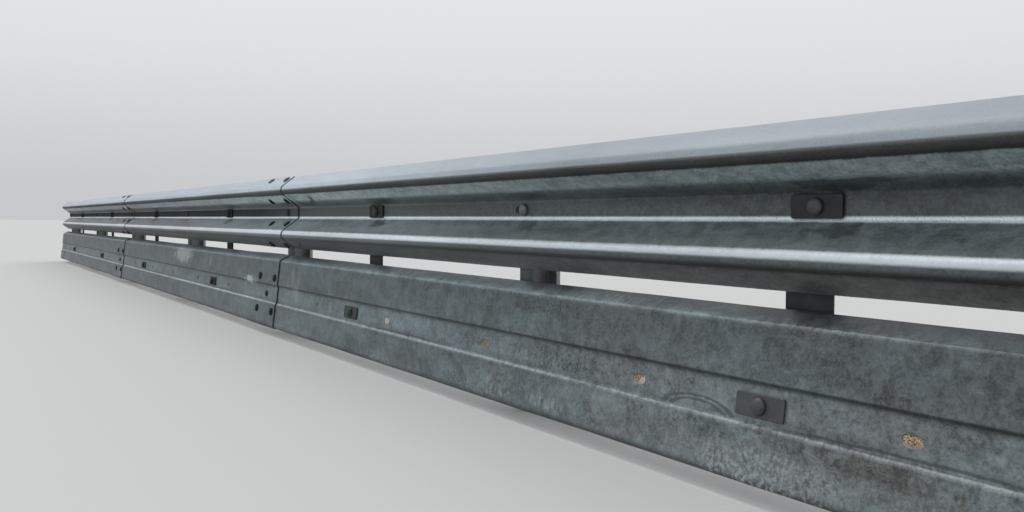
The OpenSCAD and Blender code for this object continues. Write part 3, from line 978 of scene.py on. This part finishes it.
def board_paint(tree):
    """Dull zinc of the board: mottled and streaked down its face, with worn light and a
    painted highlight along the top bend, a painted highlight along the lower ledge,
    painted shade under the upper ledge and on the flange, and pale patches, bloom,
    stains and the tide marks of road spray."""
    c = settings("finish")
    fold = board_fold()
    bend, face, ledge, ledge_end, hem = fold.knots[[1, 2, 7, 9, 11]]
    run, t, front, flat = sheet_place(tree)
    road = run + (1 - front) * OUT_OF_REACH
    cloud = tree.noise(flat, (3.2, 9), 4, 0.6)
    patch = tree.noise(flat, (15, 17), 5, 0.66, 0.8)
    blot = tree.noise(flat, (48, 50), 6, 0.72, 0.9)
    fine = tree.noise(flat, 170, 5, 0.75, 0.5)
    streak = tree.noise(flat, (38, 6), 5, 0.66, 0.4)
    shaken = t + (blot - 0.5) * 0.003 + (fine - 0.5) * 0.002
    # Painted light and shade across the fold, from the top flange down: highlights on the top bend and
    # the lower ledge, and shade under the upper ledge and on the foot
    tone = tone_along(tree, fold, shaken, [
        (0, 0.0, 0.3), (0, 0.3, 0.5), (0, 0.6, 0.76), (0, 0.85, 1.1), (1, 0.1, 1.1),
        (1, 0.75, 0.85), (2, 0.03, 0.48), (2, 0.08, 0.42), (2, 0.5, 0.46), (2, 0.985, 0.52),
        (3, 0.3, 0.18), (4, 0.1, 0.18), (4, 0.8, 0.52), (6, 0.1, 0.72), (6, 0.7, 0.74),
        (6, 0.93, 0.58), (7, 0.4, 0.95), (8, 0.3, 0.9), (8, 0.9, 0.46), (9, 0.9, 0.5),
        (10, 0.12, 0.54), (10, 0.9, 0.58), (11, 0.3, 0.2), (12, 1.0, 0.24)])
    # Painted highlight along the lower ledge, stronger towards the far end, and the flange with its
    # painted highlight darker towards the near end
    low = tree.strip(t, ledge_end, hem + 0.01, 0.02)
    dulled = tree.between(run, 4.15, 4.45, 0, 0.26) + tree.between(run, 4.95, 5.15, 0, 0.14)
    ledge_highlight = tree.strip(t, ledge - 0.001, ledge_end, 0.001) * (
        tree.between(run, 3.2, 1.2, 0, 0.7) - dulled)
    flange = tree.between(run, 4.2, 5.2) * tree.between(t, bend - 0.008, face + 0.004, 0.32, 0)
    flange = flange + tree.between(run, 5.05, 5.4, 0, 0.26) * tree.strip(
        t, bend, face + 0.003, 0.002)
    washed_down = tree.between(run, 4.1, 4.5) * low
    tone = tone * (tree.between(run, 0, 4, 0.76, 1) + washed_down * 0.3 + ledge_highlight - flange)
    tone = front * tone + (1 - front) * 0.6
    zinc = tree.mix(tree.between(cloud, 0.56, 0.44), c.board, c.warm_board)
    zinc = tree.mix(tree.between(run, 4.7, 3.6, 0, 0.6), zinc, FAR_BOARD)
    base = tree.scaled(zinc, tone * tree.mottled([
        (0.34, patch, NOISE_LOW), (0.44, blot, NOISE_LOW), (0.36, fine, 0.36), (0.34, cloud, 0.35)]))
    # Pale marks: streaks, a faded patch, scuffs, rubbed strokes, frost, and a pale mottle on the lower
    # ledge's painted highlight
    torn, ragged = (patch - 0.5) * 2.5, (blot - 0.5) * 2.5
    streaks = tree.between(streak, 0.42, 0.6) * tree.blobs(road, t, torn, [
        (2.32, 0.14, 0.08, 0.09), (3.35, 0.03, 0.2, 0.02), (4.42, 0.032, 0.2, 0.022),
        (0.86, 0.1, 0.03, 0.035), (-1.0, 0.07, 0.06, 0.03), (2.97, 0.09, 0.03, 0.05)])
    faded = tree.blobs(road, t, torn + ragged * 0.5, [(0.17, 0.09, 0.26, 0.055)])
    scores = tree.patches(0.44, 0.56, tree.joined(run * 42 - t * 30, t * 9), 1, 3, 0.6)
    scuffed = tree.blobs(road, t, ragged, [(1.67, 0.154, 0.12, 0.02)]) * scores
    strokes = tree.patches(0.45, 0.6, flat, (75, 26), 4, 0.6)
    rubbed = strokes * tree.blobs(road, t, ragged * 0.4, [
        (3.98, 0.314, 0.045, 0.03), (4.05, 0.318, 0.03, 0.02), (3.86, 0.326, 0.025, 0.018),
        (4.25, 0.316, 0.1, 0.022)])
    washed_and_highlit = tree.blobs(road, t, ragged * 0.6, [(4.96, 0.318, 0.24, 0.045)])
    zone = tree.patches(0.5, 0.62, flat, (2.4, 7), 3, 0.5)
    frost = tree.patches(0.42, 0.62, flat, 95, 6, 0.7, 0.2) * (washed_and_highlit * 0.75 + zone * low * 0.3)
    # A pale mottle over the painted highlight of the lower ledge, less at the near end
    pale = tree.strip(t, ledge, ledge_end - 0.001, 0.002) * tree.between(blot, 0.4, 0.6)
    # Dark marks: grubby patches, soil, tide rings, an arch, and seams
    spots = tree.patches(0.5, 0.6, flat, 100, 6, 0.75, 0.8)
    grubby = tree.blobs(road, t, ragged, [
        (4.58, 0.267, 0.04, 0.018), (4.8, 0.27, 0.13, 0.02), (5.17, 0.272, 0.2, 0.02),
        (3.17, 0.3, 0.045, 0.06), (2.56, 0.149, 0.11, 0.012), (4.2, 0.08, 0.14, 0.026),
        (3.08, 0.07, 0.12, 0.014), (3.53, 0.095, 0.035, 0.045), (2.84, 0.122, 0.12, 0.04),
        (4.93, 0.248, 0.035, 0.012), (4.25, 0.2, 0.2, 0.04), (-2.1, 0.2, 0.1, 0.12),
        (3.29, 0.29, 0.04, 0.022), (3.72, 0.27, 0.07, 0.016), (3.8, 0.3, 0.03, 0.03)])
    aged = tree.patches(0.5, 0.6, flat, (3.1, 14), 3, 0.5)
    soil = tree.blobs(road, t, ragged, [(5.2, 0.272, 0.16, 0.022), (3.42, 0.31, 0.2, 0.04)])
    wander = (patch - 0.5) * 0.012
    tide = tree.rings(road, t, wander, [
        (4.775, 0.244, 0.1, 0.031), (4.775, 0.244, 0.076, 0.023), (3.4, 0.246, 0.27, 0.0105),
        (5.25, 0.247, 0.25, 0.013), (1.2, 0.246, 0.3, 0.012), (-0.6, 0.246, 0.35, 0.011)], 0.0035)
    tide = tide * tree.between(t, ledge - 0.003, ledge, 1, 0)
    arch = tree.rings(road, t, wander, [(3.5, 0.36, 0.355, 0.13)], 0.011) * tree.strip(
        t, ledge_end + 0.004, hem, 0.003)
    arch = arch * tree.between(road, 3.3, 3.5) * (0.25 + 0.45 * spots)
    # A dark line beside each lap end: painted shade of the gap under the lap, and dirt in it
    seam = tree.nearest(run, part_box(BOARDS[0])[1].x + 0.004, 2 * BAY) + (patch - 0.5) * 0.016
    seam = seam * tree.between(run, -2, 2, 0.4, 1)
    base = tree.layered(base, [
        (tree.between(streak, 0.53, 0.66) * 0.3, tree.scaled(c.bloom, tone)),
        (streaks * 0.35, c.bloom), (faded * 0.5, c.faded), (scuffed * 0.9, SCUFF),
        (rubbed * 0.6, c.bloom), (frost, FROST), (pale * front * (0.4 - dulled * 0.6), LEDGE_HIGHLIGHT),
        (grubby * (0.12 + 0.6 * spots) + aged * spots * 0.3, GRIME), (soil * 0.3, SOIL),
        (tide * 0.6 + arch, TIDE), (tree.between(seam, 0.004, 0.013, 0.94, 0) * front, BOARD_SEAM)])
    rough = 0.4 + 0.16 * tree.between(blot, 0.35, 0.7)
    return tree.surface(base, 0.6, rough, blot * 0.5 + fine * 0.2, 0.15, 0.0015)


def fitting_zinc(name, tone):
    """Zinc of a small fitting in one tone, clouded, pitted and stained, rougher towards
    the far end of the row, and painted darker there as shade."""
    def paint(tree):
        place = tree.place()
        cloud = tree.noise(place, 8, 5, 0.65)
        pits = tree.noise(place, 150, 5, 0.7)
        base = tree.mix(tree.between(cloud, 0.35, 0.7), tone, tree.scaled(tone, 0.55))
        base = tree.mix(tree.between(pits, 0.52, 0.7) * 0.6, base, settings("finish").stain)
        # Painted shade: darker, and rougher, towards the far end of the row
        dull = tree.between(tree.split(place)[0], 3.6, 2.2)
        rough = 0.42 + 0.2 * cloud + 0.3 * dull
        return tree.surface(tree.scaled(base, 1 - dull * 0.5), 0.6, rough, pits, 0.15, 0.001)
    return finish(name, paint)


def post_paint(tree):
    """Dusty zinc of a post, with painted shade in the tint of road film on the flange under
    the rail, and paler zinc inside the C as painted light."""
    c = settings("finish")
    flange, corner = post_fold().knots[3:5]
    _, t, front, flat = sheet_place(tree)
    cloud = tree.noise(flat, 9, 5, 0.65)
    pits = tree.noise(flat, 150, 5, 0.7)
    # Painted shade on the front flange, and painted light inside the C
    outer = tree.between(t, corner - 0.005, corner + 0.005, 0.26, 0.8)
    level = tree.between(cloud, 0.35, 0.65, 0.85, 1.15) * (front * outer + (1 - front) * 0.75)
    flange_shade = front * tree.between(t, flange, corner, 0.6, 0) + 0.4
    base = tree.scaled(tree.mix(flange_shade, c.post, c.film), level)
    base = tree.mix(tree.between(pits, 0.52, 0.7) * 0.4, base, c.stain)
    return tree.surface(base, 0.3, 0.5 + 0.2 * cloud, pits, 0.15, 0.001)


def mud_paint(tree):
    """Dried mud: a lattice of pale straw over brown gaps, pinkish along its lower rim
    and shaded under its upper one. Two attributes of the plug hold how near its rim a
    point is, how high and how far right it is, how warm its mud is and how pale."""
    c = settings("finish")
    rim, up, right = tree.kept("plug")
    warm, pale, _ = tree.kept("mud")
    place = tree.place()
    lump = tree.noise(place, 130, 4, 0.6, 0.6)
    fine = tree.noise(place, 520, 4, 0.7)
    bent = tree.vector("ADD", tree.stretched(place, 170, 170, 330), tree.joined(lump * 3, 0, fine * 2))
    web = tree.node("ShaderNodeTexVoronoi", {"feature": "DISTANCE_TO_EDGE"},
                    {"Vector": bent, "Scale": 1}, "Distance")
    straw = tree.between(web, 0.05, 0.16, 1, 0)
    lower = tree.between(rim, 0.55, 0.85) * tree.between(up, -0.1, -0.5)
    upper = tree.between(rim, 0.8, 1.0) * tree.between(up, 0.2, 0.6)
    base = tree.mix(tree.between(lump, 0.46, 0.54), c.earth, MUD_GAP)
    base = tree.layered(base, [
        (straw, c.crust), (tree.between(fine, 0.5, 0.62) * 0.5, MUD_GRAIN),
        (lower * 0.85, MUD_PINK), (upper * 0.8, MUD_SHADE)])
    base = tree.mix(warm, tree.mix(tree.between(lump, 0.4, 0.6), MUD_GREY, MUD_ASH), base)
    patch = tree.between(right + (lump - 0.5) * 2 - up * 0.5, 0.1, 0.5) * tree.between(pale, 0.3, 0.5)
    chalk = tree.math("MAXIMUM", patch, tree.between(pale, 0.7, 0.9) * tree.between(rim, 1.0, 0.7))
    base = tree.mix(chalk * tree.between(pale, 0, 0.5), base, CHALK)
    return tree.surface(base, 0.0, 0.95, straw, 0.5, 0.002)


def slot_shade_paint(tree):
    """Painted shade: a black lump in a slot, standing for the shade seen through it."""
    lump = tree.noise(tree.place(), 240, 5, 0.7)
    base = tree.mix(tree.between(lump, 0.4, 0.65), SLOT_SHADE, SLOT_SHADE_FLECK)
    return tree.surface(base, 0.0, 0.9, lump, 0.4, 0.001)


class Solid:
    """Points and faces of one small part."""

    def __init__(self, points, faces):
        self.points, self.faces = np.asarray(points, float), faces

    def placed(self, at, normal):
        """The part turned so that its Z follows the normal and its X the row."""
        z = np.asarray(normal, float)
        x = np.array([1.0, 0, 0])
        return Solid(self.points @ np.array([x, np.cross(z, x), z]) + np.asarray(at), self.faces)


def joined(solids):
    """Several parts as one."""
    counts = np.cumsum([0] + [len(s.points) for s in solids])
    return Solid(np.concatenate([s.points for s in solids]),
                 [face + n for s, n in zip(solids, counts) for face in s.faces])


def lofted(loops, low, high, reverse=False):
    """A closed surface through loops of as many points each, closed by a fan about a
    point at each end. Its faces look outward where the loops run anticlockwise, seen
    from the high end, and they are reversed for loops that run clockwise."""
    rings, count = loops.shape[:2]
    k = np.arange(count)
    after = np.roll(k, -1)
    last, centre = (rings - 1) * count, np.full(count, rings * count)
    band = np.stack([k, after, after + count, k + count], -1)
    groups = [band + ring * count for ring in range(rings - 1)]
    groups += [np.stack([after, k, centre], -1), np.stack([last + k, last + after, centre + 1], -1)]
    if reverse:
        groups = [np.roll(group[:, ::-1], 1, axis=1) for group in groups]
    points = np.vstack([loops.reshape(-1, 3), low, high])
    return Solid(points, [face for group in groups for face in group])


def turned(radii, heights, segments=32, hexes=()):
    """A closed surface of revolution: rings of the given radii and heights about Z.
    A ring named in hexes is six-sided: its radius is the flat's distance over the
    cosine of the angle from the nearest flat."""
    angle = np.arange(segments) * 2 * pi / segments
    off_flat = (angle + pi / 6) % (pi / 3) - pi / 6
    radii, heights = np.asarray(radii, float), np.asarray(heights, float)
    scale = np.ones((len(radii), segments))
    for ring in hexes:
        scale[ring] = 1 / np.cos(off_flat)
    reach = radii[:, None] * scale
    loops = np.stack([reach * np.cos(angle), reach * np.sin(angle),
                      np.repeat(heights[:, None], segments, 1)], -1)
    return lofted(loops, [0, 0, heights[0]], [0, 0, heights[-1]])


def dome_head(width, height):
    """A round head: a low rim, then a quarter ellipse from the rim to the crown."""
    angle = np.radians(np.arange(0, 90, 9))
    rim = min(0.0022, height / 3)
    break_edge = 0.0006
    return turned(np.append([width / 2 - break_edge], width / 2 * np.cos(angle)),
                  np.append([0], rim + (height - rim) * np.sin(angle)))


def nut_set():
    """Round washer, hexagon nut and the threaded bolt end that stands out of it.
    The thread is a zigzag of the radius with the height, two steps to a pitch."""
    b = settings("bolt")
    pitch, thread, tip = 0.002, 0.0007, 0.0015
    wash = turned([b.washer / 2, b.washer / 2], [0, b.washer_height])
    corner = b.nut / 2 * (1 / cos(pi / 6) - 1) * tan(pi / 6)
    base, top = b.washer_height, b.washer_height + b.nut_height
    nut = turned([b.nut / 2] * 4, [base, base + corner, top - corner, top], 36, hexes=(1, 2))
    steps = np.arange(0, 2 * b.proud / pitch)
    end = turned(np.append(b.shank / 2 - thread * (steps % 2), b.shank / 2 - tip),
                 np.append(top + steps * pitch / 2, top + b.proud + pitch / 2), 24)
    return joined([wash, nut, end])


def plate(length, height, thick, corner):
    """A plate with round corners on its back: loops of one rounded rectangle, inset
    at its two faces by a small chamfer, and closed by its middle."""
    steps, chamfer = 6, 0.0007
    angle = (np.arange(4)[:, None] * pi / 2 + np.linspace(0, pi / 2, steps)).ravel()
    quarter = np.repeat(np.arange(4), steps)
    core = np.stack([np.array([1, -1, -1, 1])[quarter] * (length / 2 - corner),
                     np.array([1, 1, -1, -1])[quarter] * (height / 2 - corner)], -1)
    edge = np.stack([np.cos(angle), np.sin(angle)], -1)
    sides = [(corner - chamfer, 0), (corner, chamfer), (corner, thick - chamfer),
             (corner - chamfer, thick)]
    loops = np.stack([np.column_stack([core + r * edge, np.full(len(angle), h)]) for r, h in sides])
    return lofted(loops, [0, 0, 0], [0, 0, thick])


def plug(fold, slot, sheet, sunk, dome, lumps):
    """A closed lump that fills a slot, and for each point how near the rim, how high
    and how far right it is. The front is the slot's outline shrunk from the rim to
    the middle: at share r of the way out it stands back by the sunk depth, forward by
    the dome times 1 - r squared, and up and down by three sines."""
    rings, steps, grow, ripple = 10, 9, 0.0003, 900
    radius = slot.radius + grow
    bend = np.linspace(-pi / 2, pi / 2, steps)
    right = np.stack([slot.straight + radius * np.cos(bend), radius * np.sin(bend)], -1)
    along = np.linspace(slot.straight, -slot.straight, 6)[1:-1]
    top = np.stack([along, np.full(len(along), radius)], -1)
    edge = np.concatenate([right, top, -right, -top])
    count = len(edge)
    share = np.append(1, np.linspace(1, 1 / rings, rings))
    flat = np.vstack([(edge * share[:, None, None]).reshape(-1, 2), np.zeros((2, 2))])
    rim = np.append(np.repeat(share, count), [1, 0])
    x, y = (slot.run + flat[:, 0]) * ripple, (slot.t + flat[:, 1]) * ripple
    bumps = (np.sin(x * 0.8 + 1.3 * y) + np.sin(1.9 * x - y + 2) + np.sin(2.3 * y + x * 1.1 + 4)) / 3
    off = sheet / 2 - sunk + dome * (1 - rim ** 2) + lumps * bumps * (1 - rim ** 4)
    off[:count] = off[-2] = -sheet / 2
    at, normal = fold.at(slot.t + flat[:, 1])
    points = in_row(slot.run + flat[:, 0], at + normal * off[:, None])
    marks = np.stack([rim, -flat[:, 1] / radius, flat[:, 0] / (slot.straight + radius)], -1)
    return lofted(points[:-2].reshape(rings + 1, count, 3), *points[-2:], reverse=True), marks


def post_bolts(head, nut):
    """Bolts of the posts: heads in the rail's valley, nuts behind the front flange."""
    r, fold = settings("rail"), rail_fold()
    heads, nuts = [], []
    for node in POSTS:
        x = middle_x(node)
        lapped = any(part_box(n)[1].x - r.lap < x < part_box(n)[1].x for n in RAILS)
        seat = on_sheet(fold, x, fold.length / 2, r.sheet * (1.5 if lapped else 0.5))
        heads.append(head.placed(*seat))
        rear = (x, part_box(node)[0].y + settings("post").sheet, rail_centre())
        nuts.append(nut.placed(rear, TO_REAR))
    return {"post_bolt_heads": heads, "post_bolt_nuts": nuts}


def washer_bolts(head, nut):
    """Bolts of the plate washers: heads on the plates, nuts behind the brackets."""
    board = settings("board")
    front = band_point(board.sheet / 2 - board.depth + settings("bolt").plate)
    rear = band_point(-board.depth - board.sheet / 2 - settings("post").bracket_sheet)
    heads, nuts = [], []
    for node in RAIL_WASHERS:
        x = middle_x(node)
        heads.append(head.placed((x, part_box(node)[0].y, rail_centre()), TO_ROAD))
        nuts.append(nut.placed((x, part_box(BRACKETS[0])[1].y, rail_centre()), TO_REAR))
    for node in BOARD_WASHERS:
        x = middle_x(node)
        heads.append(head.placed(in_row(x, front), face_normal()))
        nuts.append(nut.placed(in_row(x, rear), -face_normal()))
    return {"washer_bolt_heads": heads, "washer_bolt_nuts": nuts}


def lap_bolts(stem, nodes, fold, slots, nut):
    """Bolts through both sheets of the inner laps, but for those of the posts. Heads
    are small in the band of the board, and the rail's top slope has a piece of its own."""
    b, sizes = settings("bolt"), settings(stem)
    flat_head, small_head = (dome_head(width, b.lap_dome) for width in (b.head, b.band_head))
    found = {stem + "_lap_heads": [], stem + "_top_heads": [], stem + "_lap_nuts": []}
    on_rail = stem == "rail"
    middle = fold.length / 2 if on_rail else band_line(fold)
    for node in nodes[:-1]:
        low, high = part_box(node)
        for slot in slots(fold, low.x, high.x):
            in_middle = abs(slot.t - middle) < 1e-6
            if slot.run < high.x - sizes.lap or (on_rail and in_middle):
                continue
            on_top = on_rail and slot.t < fold.knots[1]
            shape = small_head if in_middle else flat_head
            found[stem + ("_top_heads" if on_top else "_lap_heads")].append(
                shape.placed(*on_sheet(fold, slot.run, slot.t, 1.5 * sizes.sheet)))
            at, normal = on_sheet(fold, slot.run, slot.t, -0.5 * sizes.sheet)
            found[stem + "_lap_nuts"].append(nut.placed(at, -normal))
    return {name: solids for name, solids in found.items() if solids}


class RailPanels(bpy.types.Operator):
    """Make the three rail panels as smooth folded sheets"""
    bl_idname = "guardrail.rail_panels"
    bl_label = "Rail panels"

    def execute(self, context):
        fold = rail_fold()
        add_panels(RAILS, fold, settings("rail"), rail_slots, RAIL_HOLLOWS, fold.length / 2,
                   finish("rail_zinc", rail_paint), [DENT], [DENT_RUNS])
        return {"FINISHED"}


class BoardPanels(bpy.types.Operator):
    """Make the three underrun board panels as smooth folded sheets"""
    bl_idname = "guardrail.board_panels"
    bl_label = "Board panels"

    def execute(self, context):
        fold = board_fold()
        add_panels(BOARDS, fold, settings("board"), board_slots, BOARD_HOLLOWS, band_line(fold),
                   finish("board_zinc", board_paint))
        return {"FINISHED"}


class Posts(bpy.types.Operator):
    """Make the lipped C posts"""
    bl_idname = "guardrail.posts"
    bl_label = "Posts"

    def execute(self, context):
        p = settings("post")
        fold = post_fold()
        material = finish("post_zinc", post_paint)
        front = fold.knots[2] + (fold.knots[3] - fold.knots[2]) / 2
        for node in POSTS:
            low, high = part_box(node)
            place = up_post(fold, middle_x(node), low.y + p.sheet / 2)
            sheet_piece(node + "_sheet", fold, place, p.sheet, (low.z, high.z),
                        [Slot(rail_centre(), front, p.hole)], material, node,
                        flipped=True)
        return {"FINISHED"}


class Brackets(bpy.types.Operator):
    """Make the hanging brackets between the rail and the board"""
    bl_idname = "guardrail.brackets"
    bl_label = "Brackets"

    def execute(self, context):
        p = settings("post")
        fold = bracket_fold()
        material = fitting_zinc("bracket_zinc", settings("finish").bracket)
        place = along_row(fold, lambda x, t: np.zeros_like(x))
        for node, washer in zip(BRACKETS, RAIL_WASHERS):
            low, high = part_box(node)
            bolt = middle_x(washer)
            slots = [Slot(bolt, fold.at_height(0), p.hole, margin=0.005),
                     Slot(bolt + settings("board").bolt_shift, band_line(fold), p.hole, margin=0.005)]
            sheet_piece(node + "_sheet", fold, place, p.bracket_sheet, (low.x, high.x), slots,
                        material, node)
        return {"FINISHED"}


class Washers(bpy.types.Operator):
    """Make the plate washers of the rail and of the board"""
    bl_idname = "guardrail.washers"
    bl_label = "Plate washers"

    def execute(self, context):
        b, board, colours = settings("bolt"), settings("board"), settings("finish")
        dark = fitting_zinc("rail_washer_zinc", colours.washer)
        dull = fitting_zinc("board_washer_zinc", colours.fitting)
        shape = plate(b.plate_length, b.plate_height, b.plate, b.corner)
        for node in RAIL_WASHERS:
            low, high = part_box(node)
            at = (middle_x(node), high.y, (low.z + high.z) / 2)
            add_solid(node + "_plate", shape.placed(at, TO_ROAD), dark, [node])
        for node in BOARD_WASHERS:
            at = in_row(middle_x(node), band_point(board.sheet / 2 - board.depth))
            add_solid(node + "_plate", shape.placed(at, face_normal()), dull, [node])
        return {"FINISHED"}


class Bolts(bpy.types.Operator):
    """Make the bolts and nuts of posts, washers and laps"""
    bl_idname = "guardrail.bolts"
    bl_label = "Bolts and nuts"

    def execute(self, context):
        b = settings("bolt")
        head, nut = dome_head(b.head, b.dome), nut_set()
        parts = {**post_bolts(head, nut), **washer_bolts(head, nut),
                 **lap_bolts("rail", RAILS, rail_fold(), rail_slots, nut),
                 **lap_bolts("board", BOARDS, board_fold(), board_slots, nut)}
        zincs = {tone: fitting_zinc(tone + "_zinc", getattr(settings("finish"), tone))
                 for tone in dict.fromkeys(FASTENERS.values())}
        for name, solids in parts.items():
            add_solid(name, joined(solids), zincs[FASTENERS[name]])
        return {"FINISHED"}


class Mud(bpy.types.Operator):
    """Fill the open slots with dried mud, and the valley slots with black plugs of painted shade"""
    bl_idname = "guardrail.mud"
    # The grime of the label is the painted shade in the valley slots
    bl_label = "Mud and grime in the slots"

    def execute(self, context):
        r, b = settings("rail"), settings("board")
        fold = board_fold()
        solids, marks, kinds = [], [], []
        for node in BOARDS:
            low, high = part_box(node)
            for x in band_stations(low.x + b.lap / 2, high.x - b.lap / 2):
                if min(abs(x - middle_x(n)) for n in BOARD_WASHERS) < b.slot_length:
                    continue
                slot = Slot(x, band_line(fold), b.slot_width, b.slot_length)
                solid, place = plug(fold, slot, b.sheet, sunk=0.0012, dome=0.0016, lumps=0.0009)
                near = min(MUD, key=lambda m: abs(m[0] - x))
                kind = near[1:] if abs(near[0] - x) < 0.1 else (0.15 + 0.15 * sin(7 * x), 0.1)
                solids.append(solid)
                marks.append(place)
                kinds.append(np.tile([*kind, 0], (len(place), 1)))
        obj = add_solid("slot_mud", joined(solids), finish("dried_mud", mud_paint))
        tag(obj.data, "plug", np.concatenate(marks))
        tag(obj.data, "mud", np.concatenate(kinds))
        # Black plugs of painted shade in the rail's valley slots at the posts
        fold = rail_fold()
        solids = []
        for node in POSTS:
            x = middle_x(node) + middle_x(RAILS[1])
            slot = Slot(x, fold.length / 2, r.valley_slot, r.valley_length)
            solids.append(plug(fold, slot, r.sheet, sunk=0.0014, dome=0.0002, lumps=0.0002)[0])
        add_solid("slot_grime", joined(solids), finish("packed_grime", slot_shade_paint))
        return {"FINISHED"}


class Stage(bpy.types.Operator):
    """Make the floor, the soft light and the camera"""
    bl_idname = "guardrail.stage"
    bl_label = "Floor, light and camera"

    def execute(self, context):
        s = settings("stage")
        scene = context.scene
        scene.view_settings.view_transform = "Standard"
        reach = 400
        floor = bpy.data.objects.new("floor", mesh_of("floor", [
            (-reach, -reach, 0), (reach, -reach, 0), (reach, reach, 0), (-reach, reach, 0)],
            [(0, 1, 2, 3)]))
        scene.collection.objects.link(floor)
        floor.data.materials.append(finish("floor_pale", lambda tree: {
            "Base Color": colour(s.floor), "Roughness": 0.9, "Specular IOR Level": 0.1}))
        light_world(scene, s)
        set_camera(scene, s)
        return {"FINISHED"}


def light_world(scene, s):
    """A soft white sky, brighter overhead than at the horizon, and a soft lamp."""
    world = bpy.data.worlds.new("soft_sky")
    scene.world = world
    tree = Tree(world)
    up = tree.split(tree.node("ShaderNodeTexCoord", None, None, 0))[2]
    level = (s.horizon + (s.backdrop - s.horizon) * tree.between(up, 0.0, 0.2)
             + (s.sky - s.backdrop) * tree.between(up, 0.1, 0.7))
    sky = tree.node("ShaderNodeBackground", None, {0: tree.scaled(SKY, level), 1: 1.0})
    tree.made("ShaderNodeOutputWorld", None, {0: sky})
    lamp = bpy.data.lights.new("soft_lamp", "SUN")
    lamp.energy, lamp.angle = s.lamp, radians(20)
    obj = bpy.data.objects.new("soft_lamp", lamp)
    scene.collection.objects.link(obj)
    toward = Vector((-0.5, -0.06, 0.86))
    obj.rotation_euler = toward.to_track_quat("Z", "Y").to_euler()


def set_camera(scene, s):
    """Camera by its turn from the row, its downward tilt and its roll."""
    ahead = Vector((-cos(s.yaw) * cos(s.pitch), sin(s.yaw) * cos(s.pitch), -sin(s.pitch)))
    right = ahead.cross(Vector((0, 0, 1))).normalized()
    up = right.cross(ahead)
    right, up = (cos(s.roll) * right + sin(s.roll) * up, cos(s.roll) * up - sin(s.roll) * right)
    turn = Matrix((right, up, -ahead)).transposed()
    data = bpy.data.cameras.new("camera")
    data.sensor_width = 36
    data.lens = s.focal * data.sensor_width / IMAGE_WIDTH
    data.clip_start, data.clip_end = 0.05, 200
    camera = bpy.data.objects.new("camera", data)
    scene.collection.objects.link(camera)
    camera.matrix_world = Matrix.Translation(
        (s.along, valley_plane() - s.away, rail_centre() - s.below)) @ turn.to_4x4()
    scene.camera = camera


class GuardrailPanel(bpy.types.Panel):
    """Lists the sizes and the steps that make the guardrail"""
    bl_idname = "VIEW3D_PT_guardrail"
    bl_label = "Guardrail"
    bl_space_type = "VIEW_3D"
    bl_region_type = "UI"
    bl_category = "Guardrail"

    def draw(self, context):
        for name, group in SETTINGS.items():
            column = self.layout.column(align=True)
            column.label(text=group.__doc__)
            for key in group.__annotations__:
                column.prop(settings(name), key)
        for operator in OPERATORS:
            self.layout.operator(operator.bl_idname)


OPERATORS = [RailPanels, BoardPanels, Posts, Brackets, Washers, Bolts, Mud, Stage]
CLASSES = [*SETTINGS.values(), *OPERATORS, GuardrailPanel]


def register():
    """Registers every class and hangs the sizes on the scene."""
    for item in CLASSES:
        bpy.utils.register_class(item)
    for name, group in SETTINGS.items():
        setattr(bpy.types.Scene, "guardrail_" + name, PointerProperty(type=group))


def unregister():
    """Takes back what register did."""
    for name in SETTINGS:
        delattr(bpy.types.Scene, "guardrail_" + name)
    for item in reversed(CLASSES):
        bpy.utils.unregister_class(item)


def main():
    """Runs every step in order."""
    register()
    for operator in OPERATORS:
        getattr(bpy.ops.guardrail, operator.bl_idname.split(".")[1])()


if __name__ == "__main__":
    main()
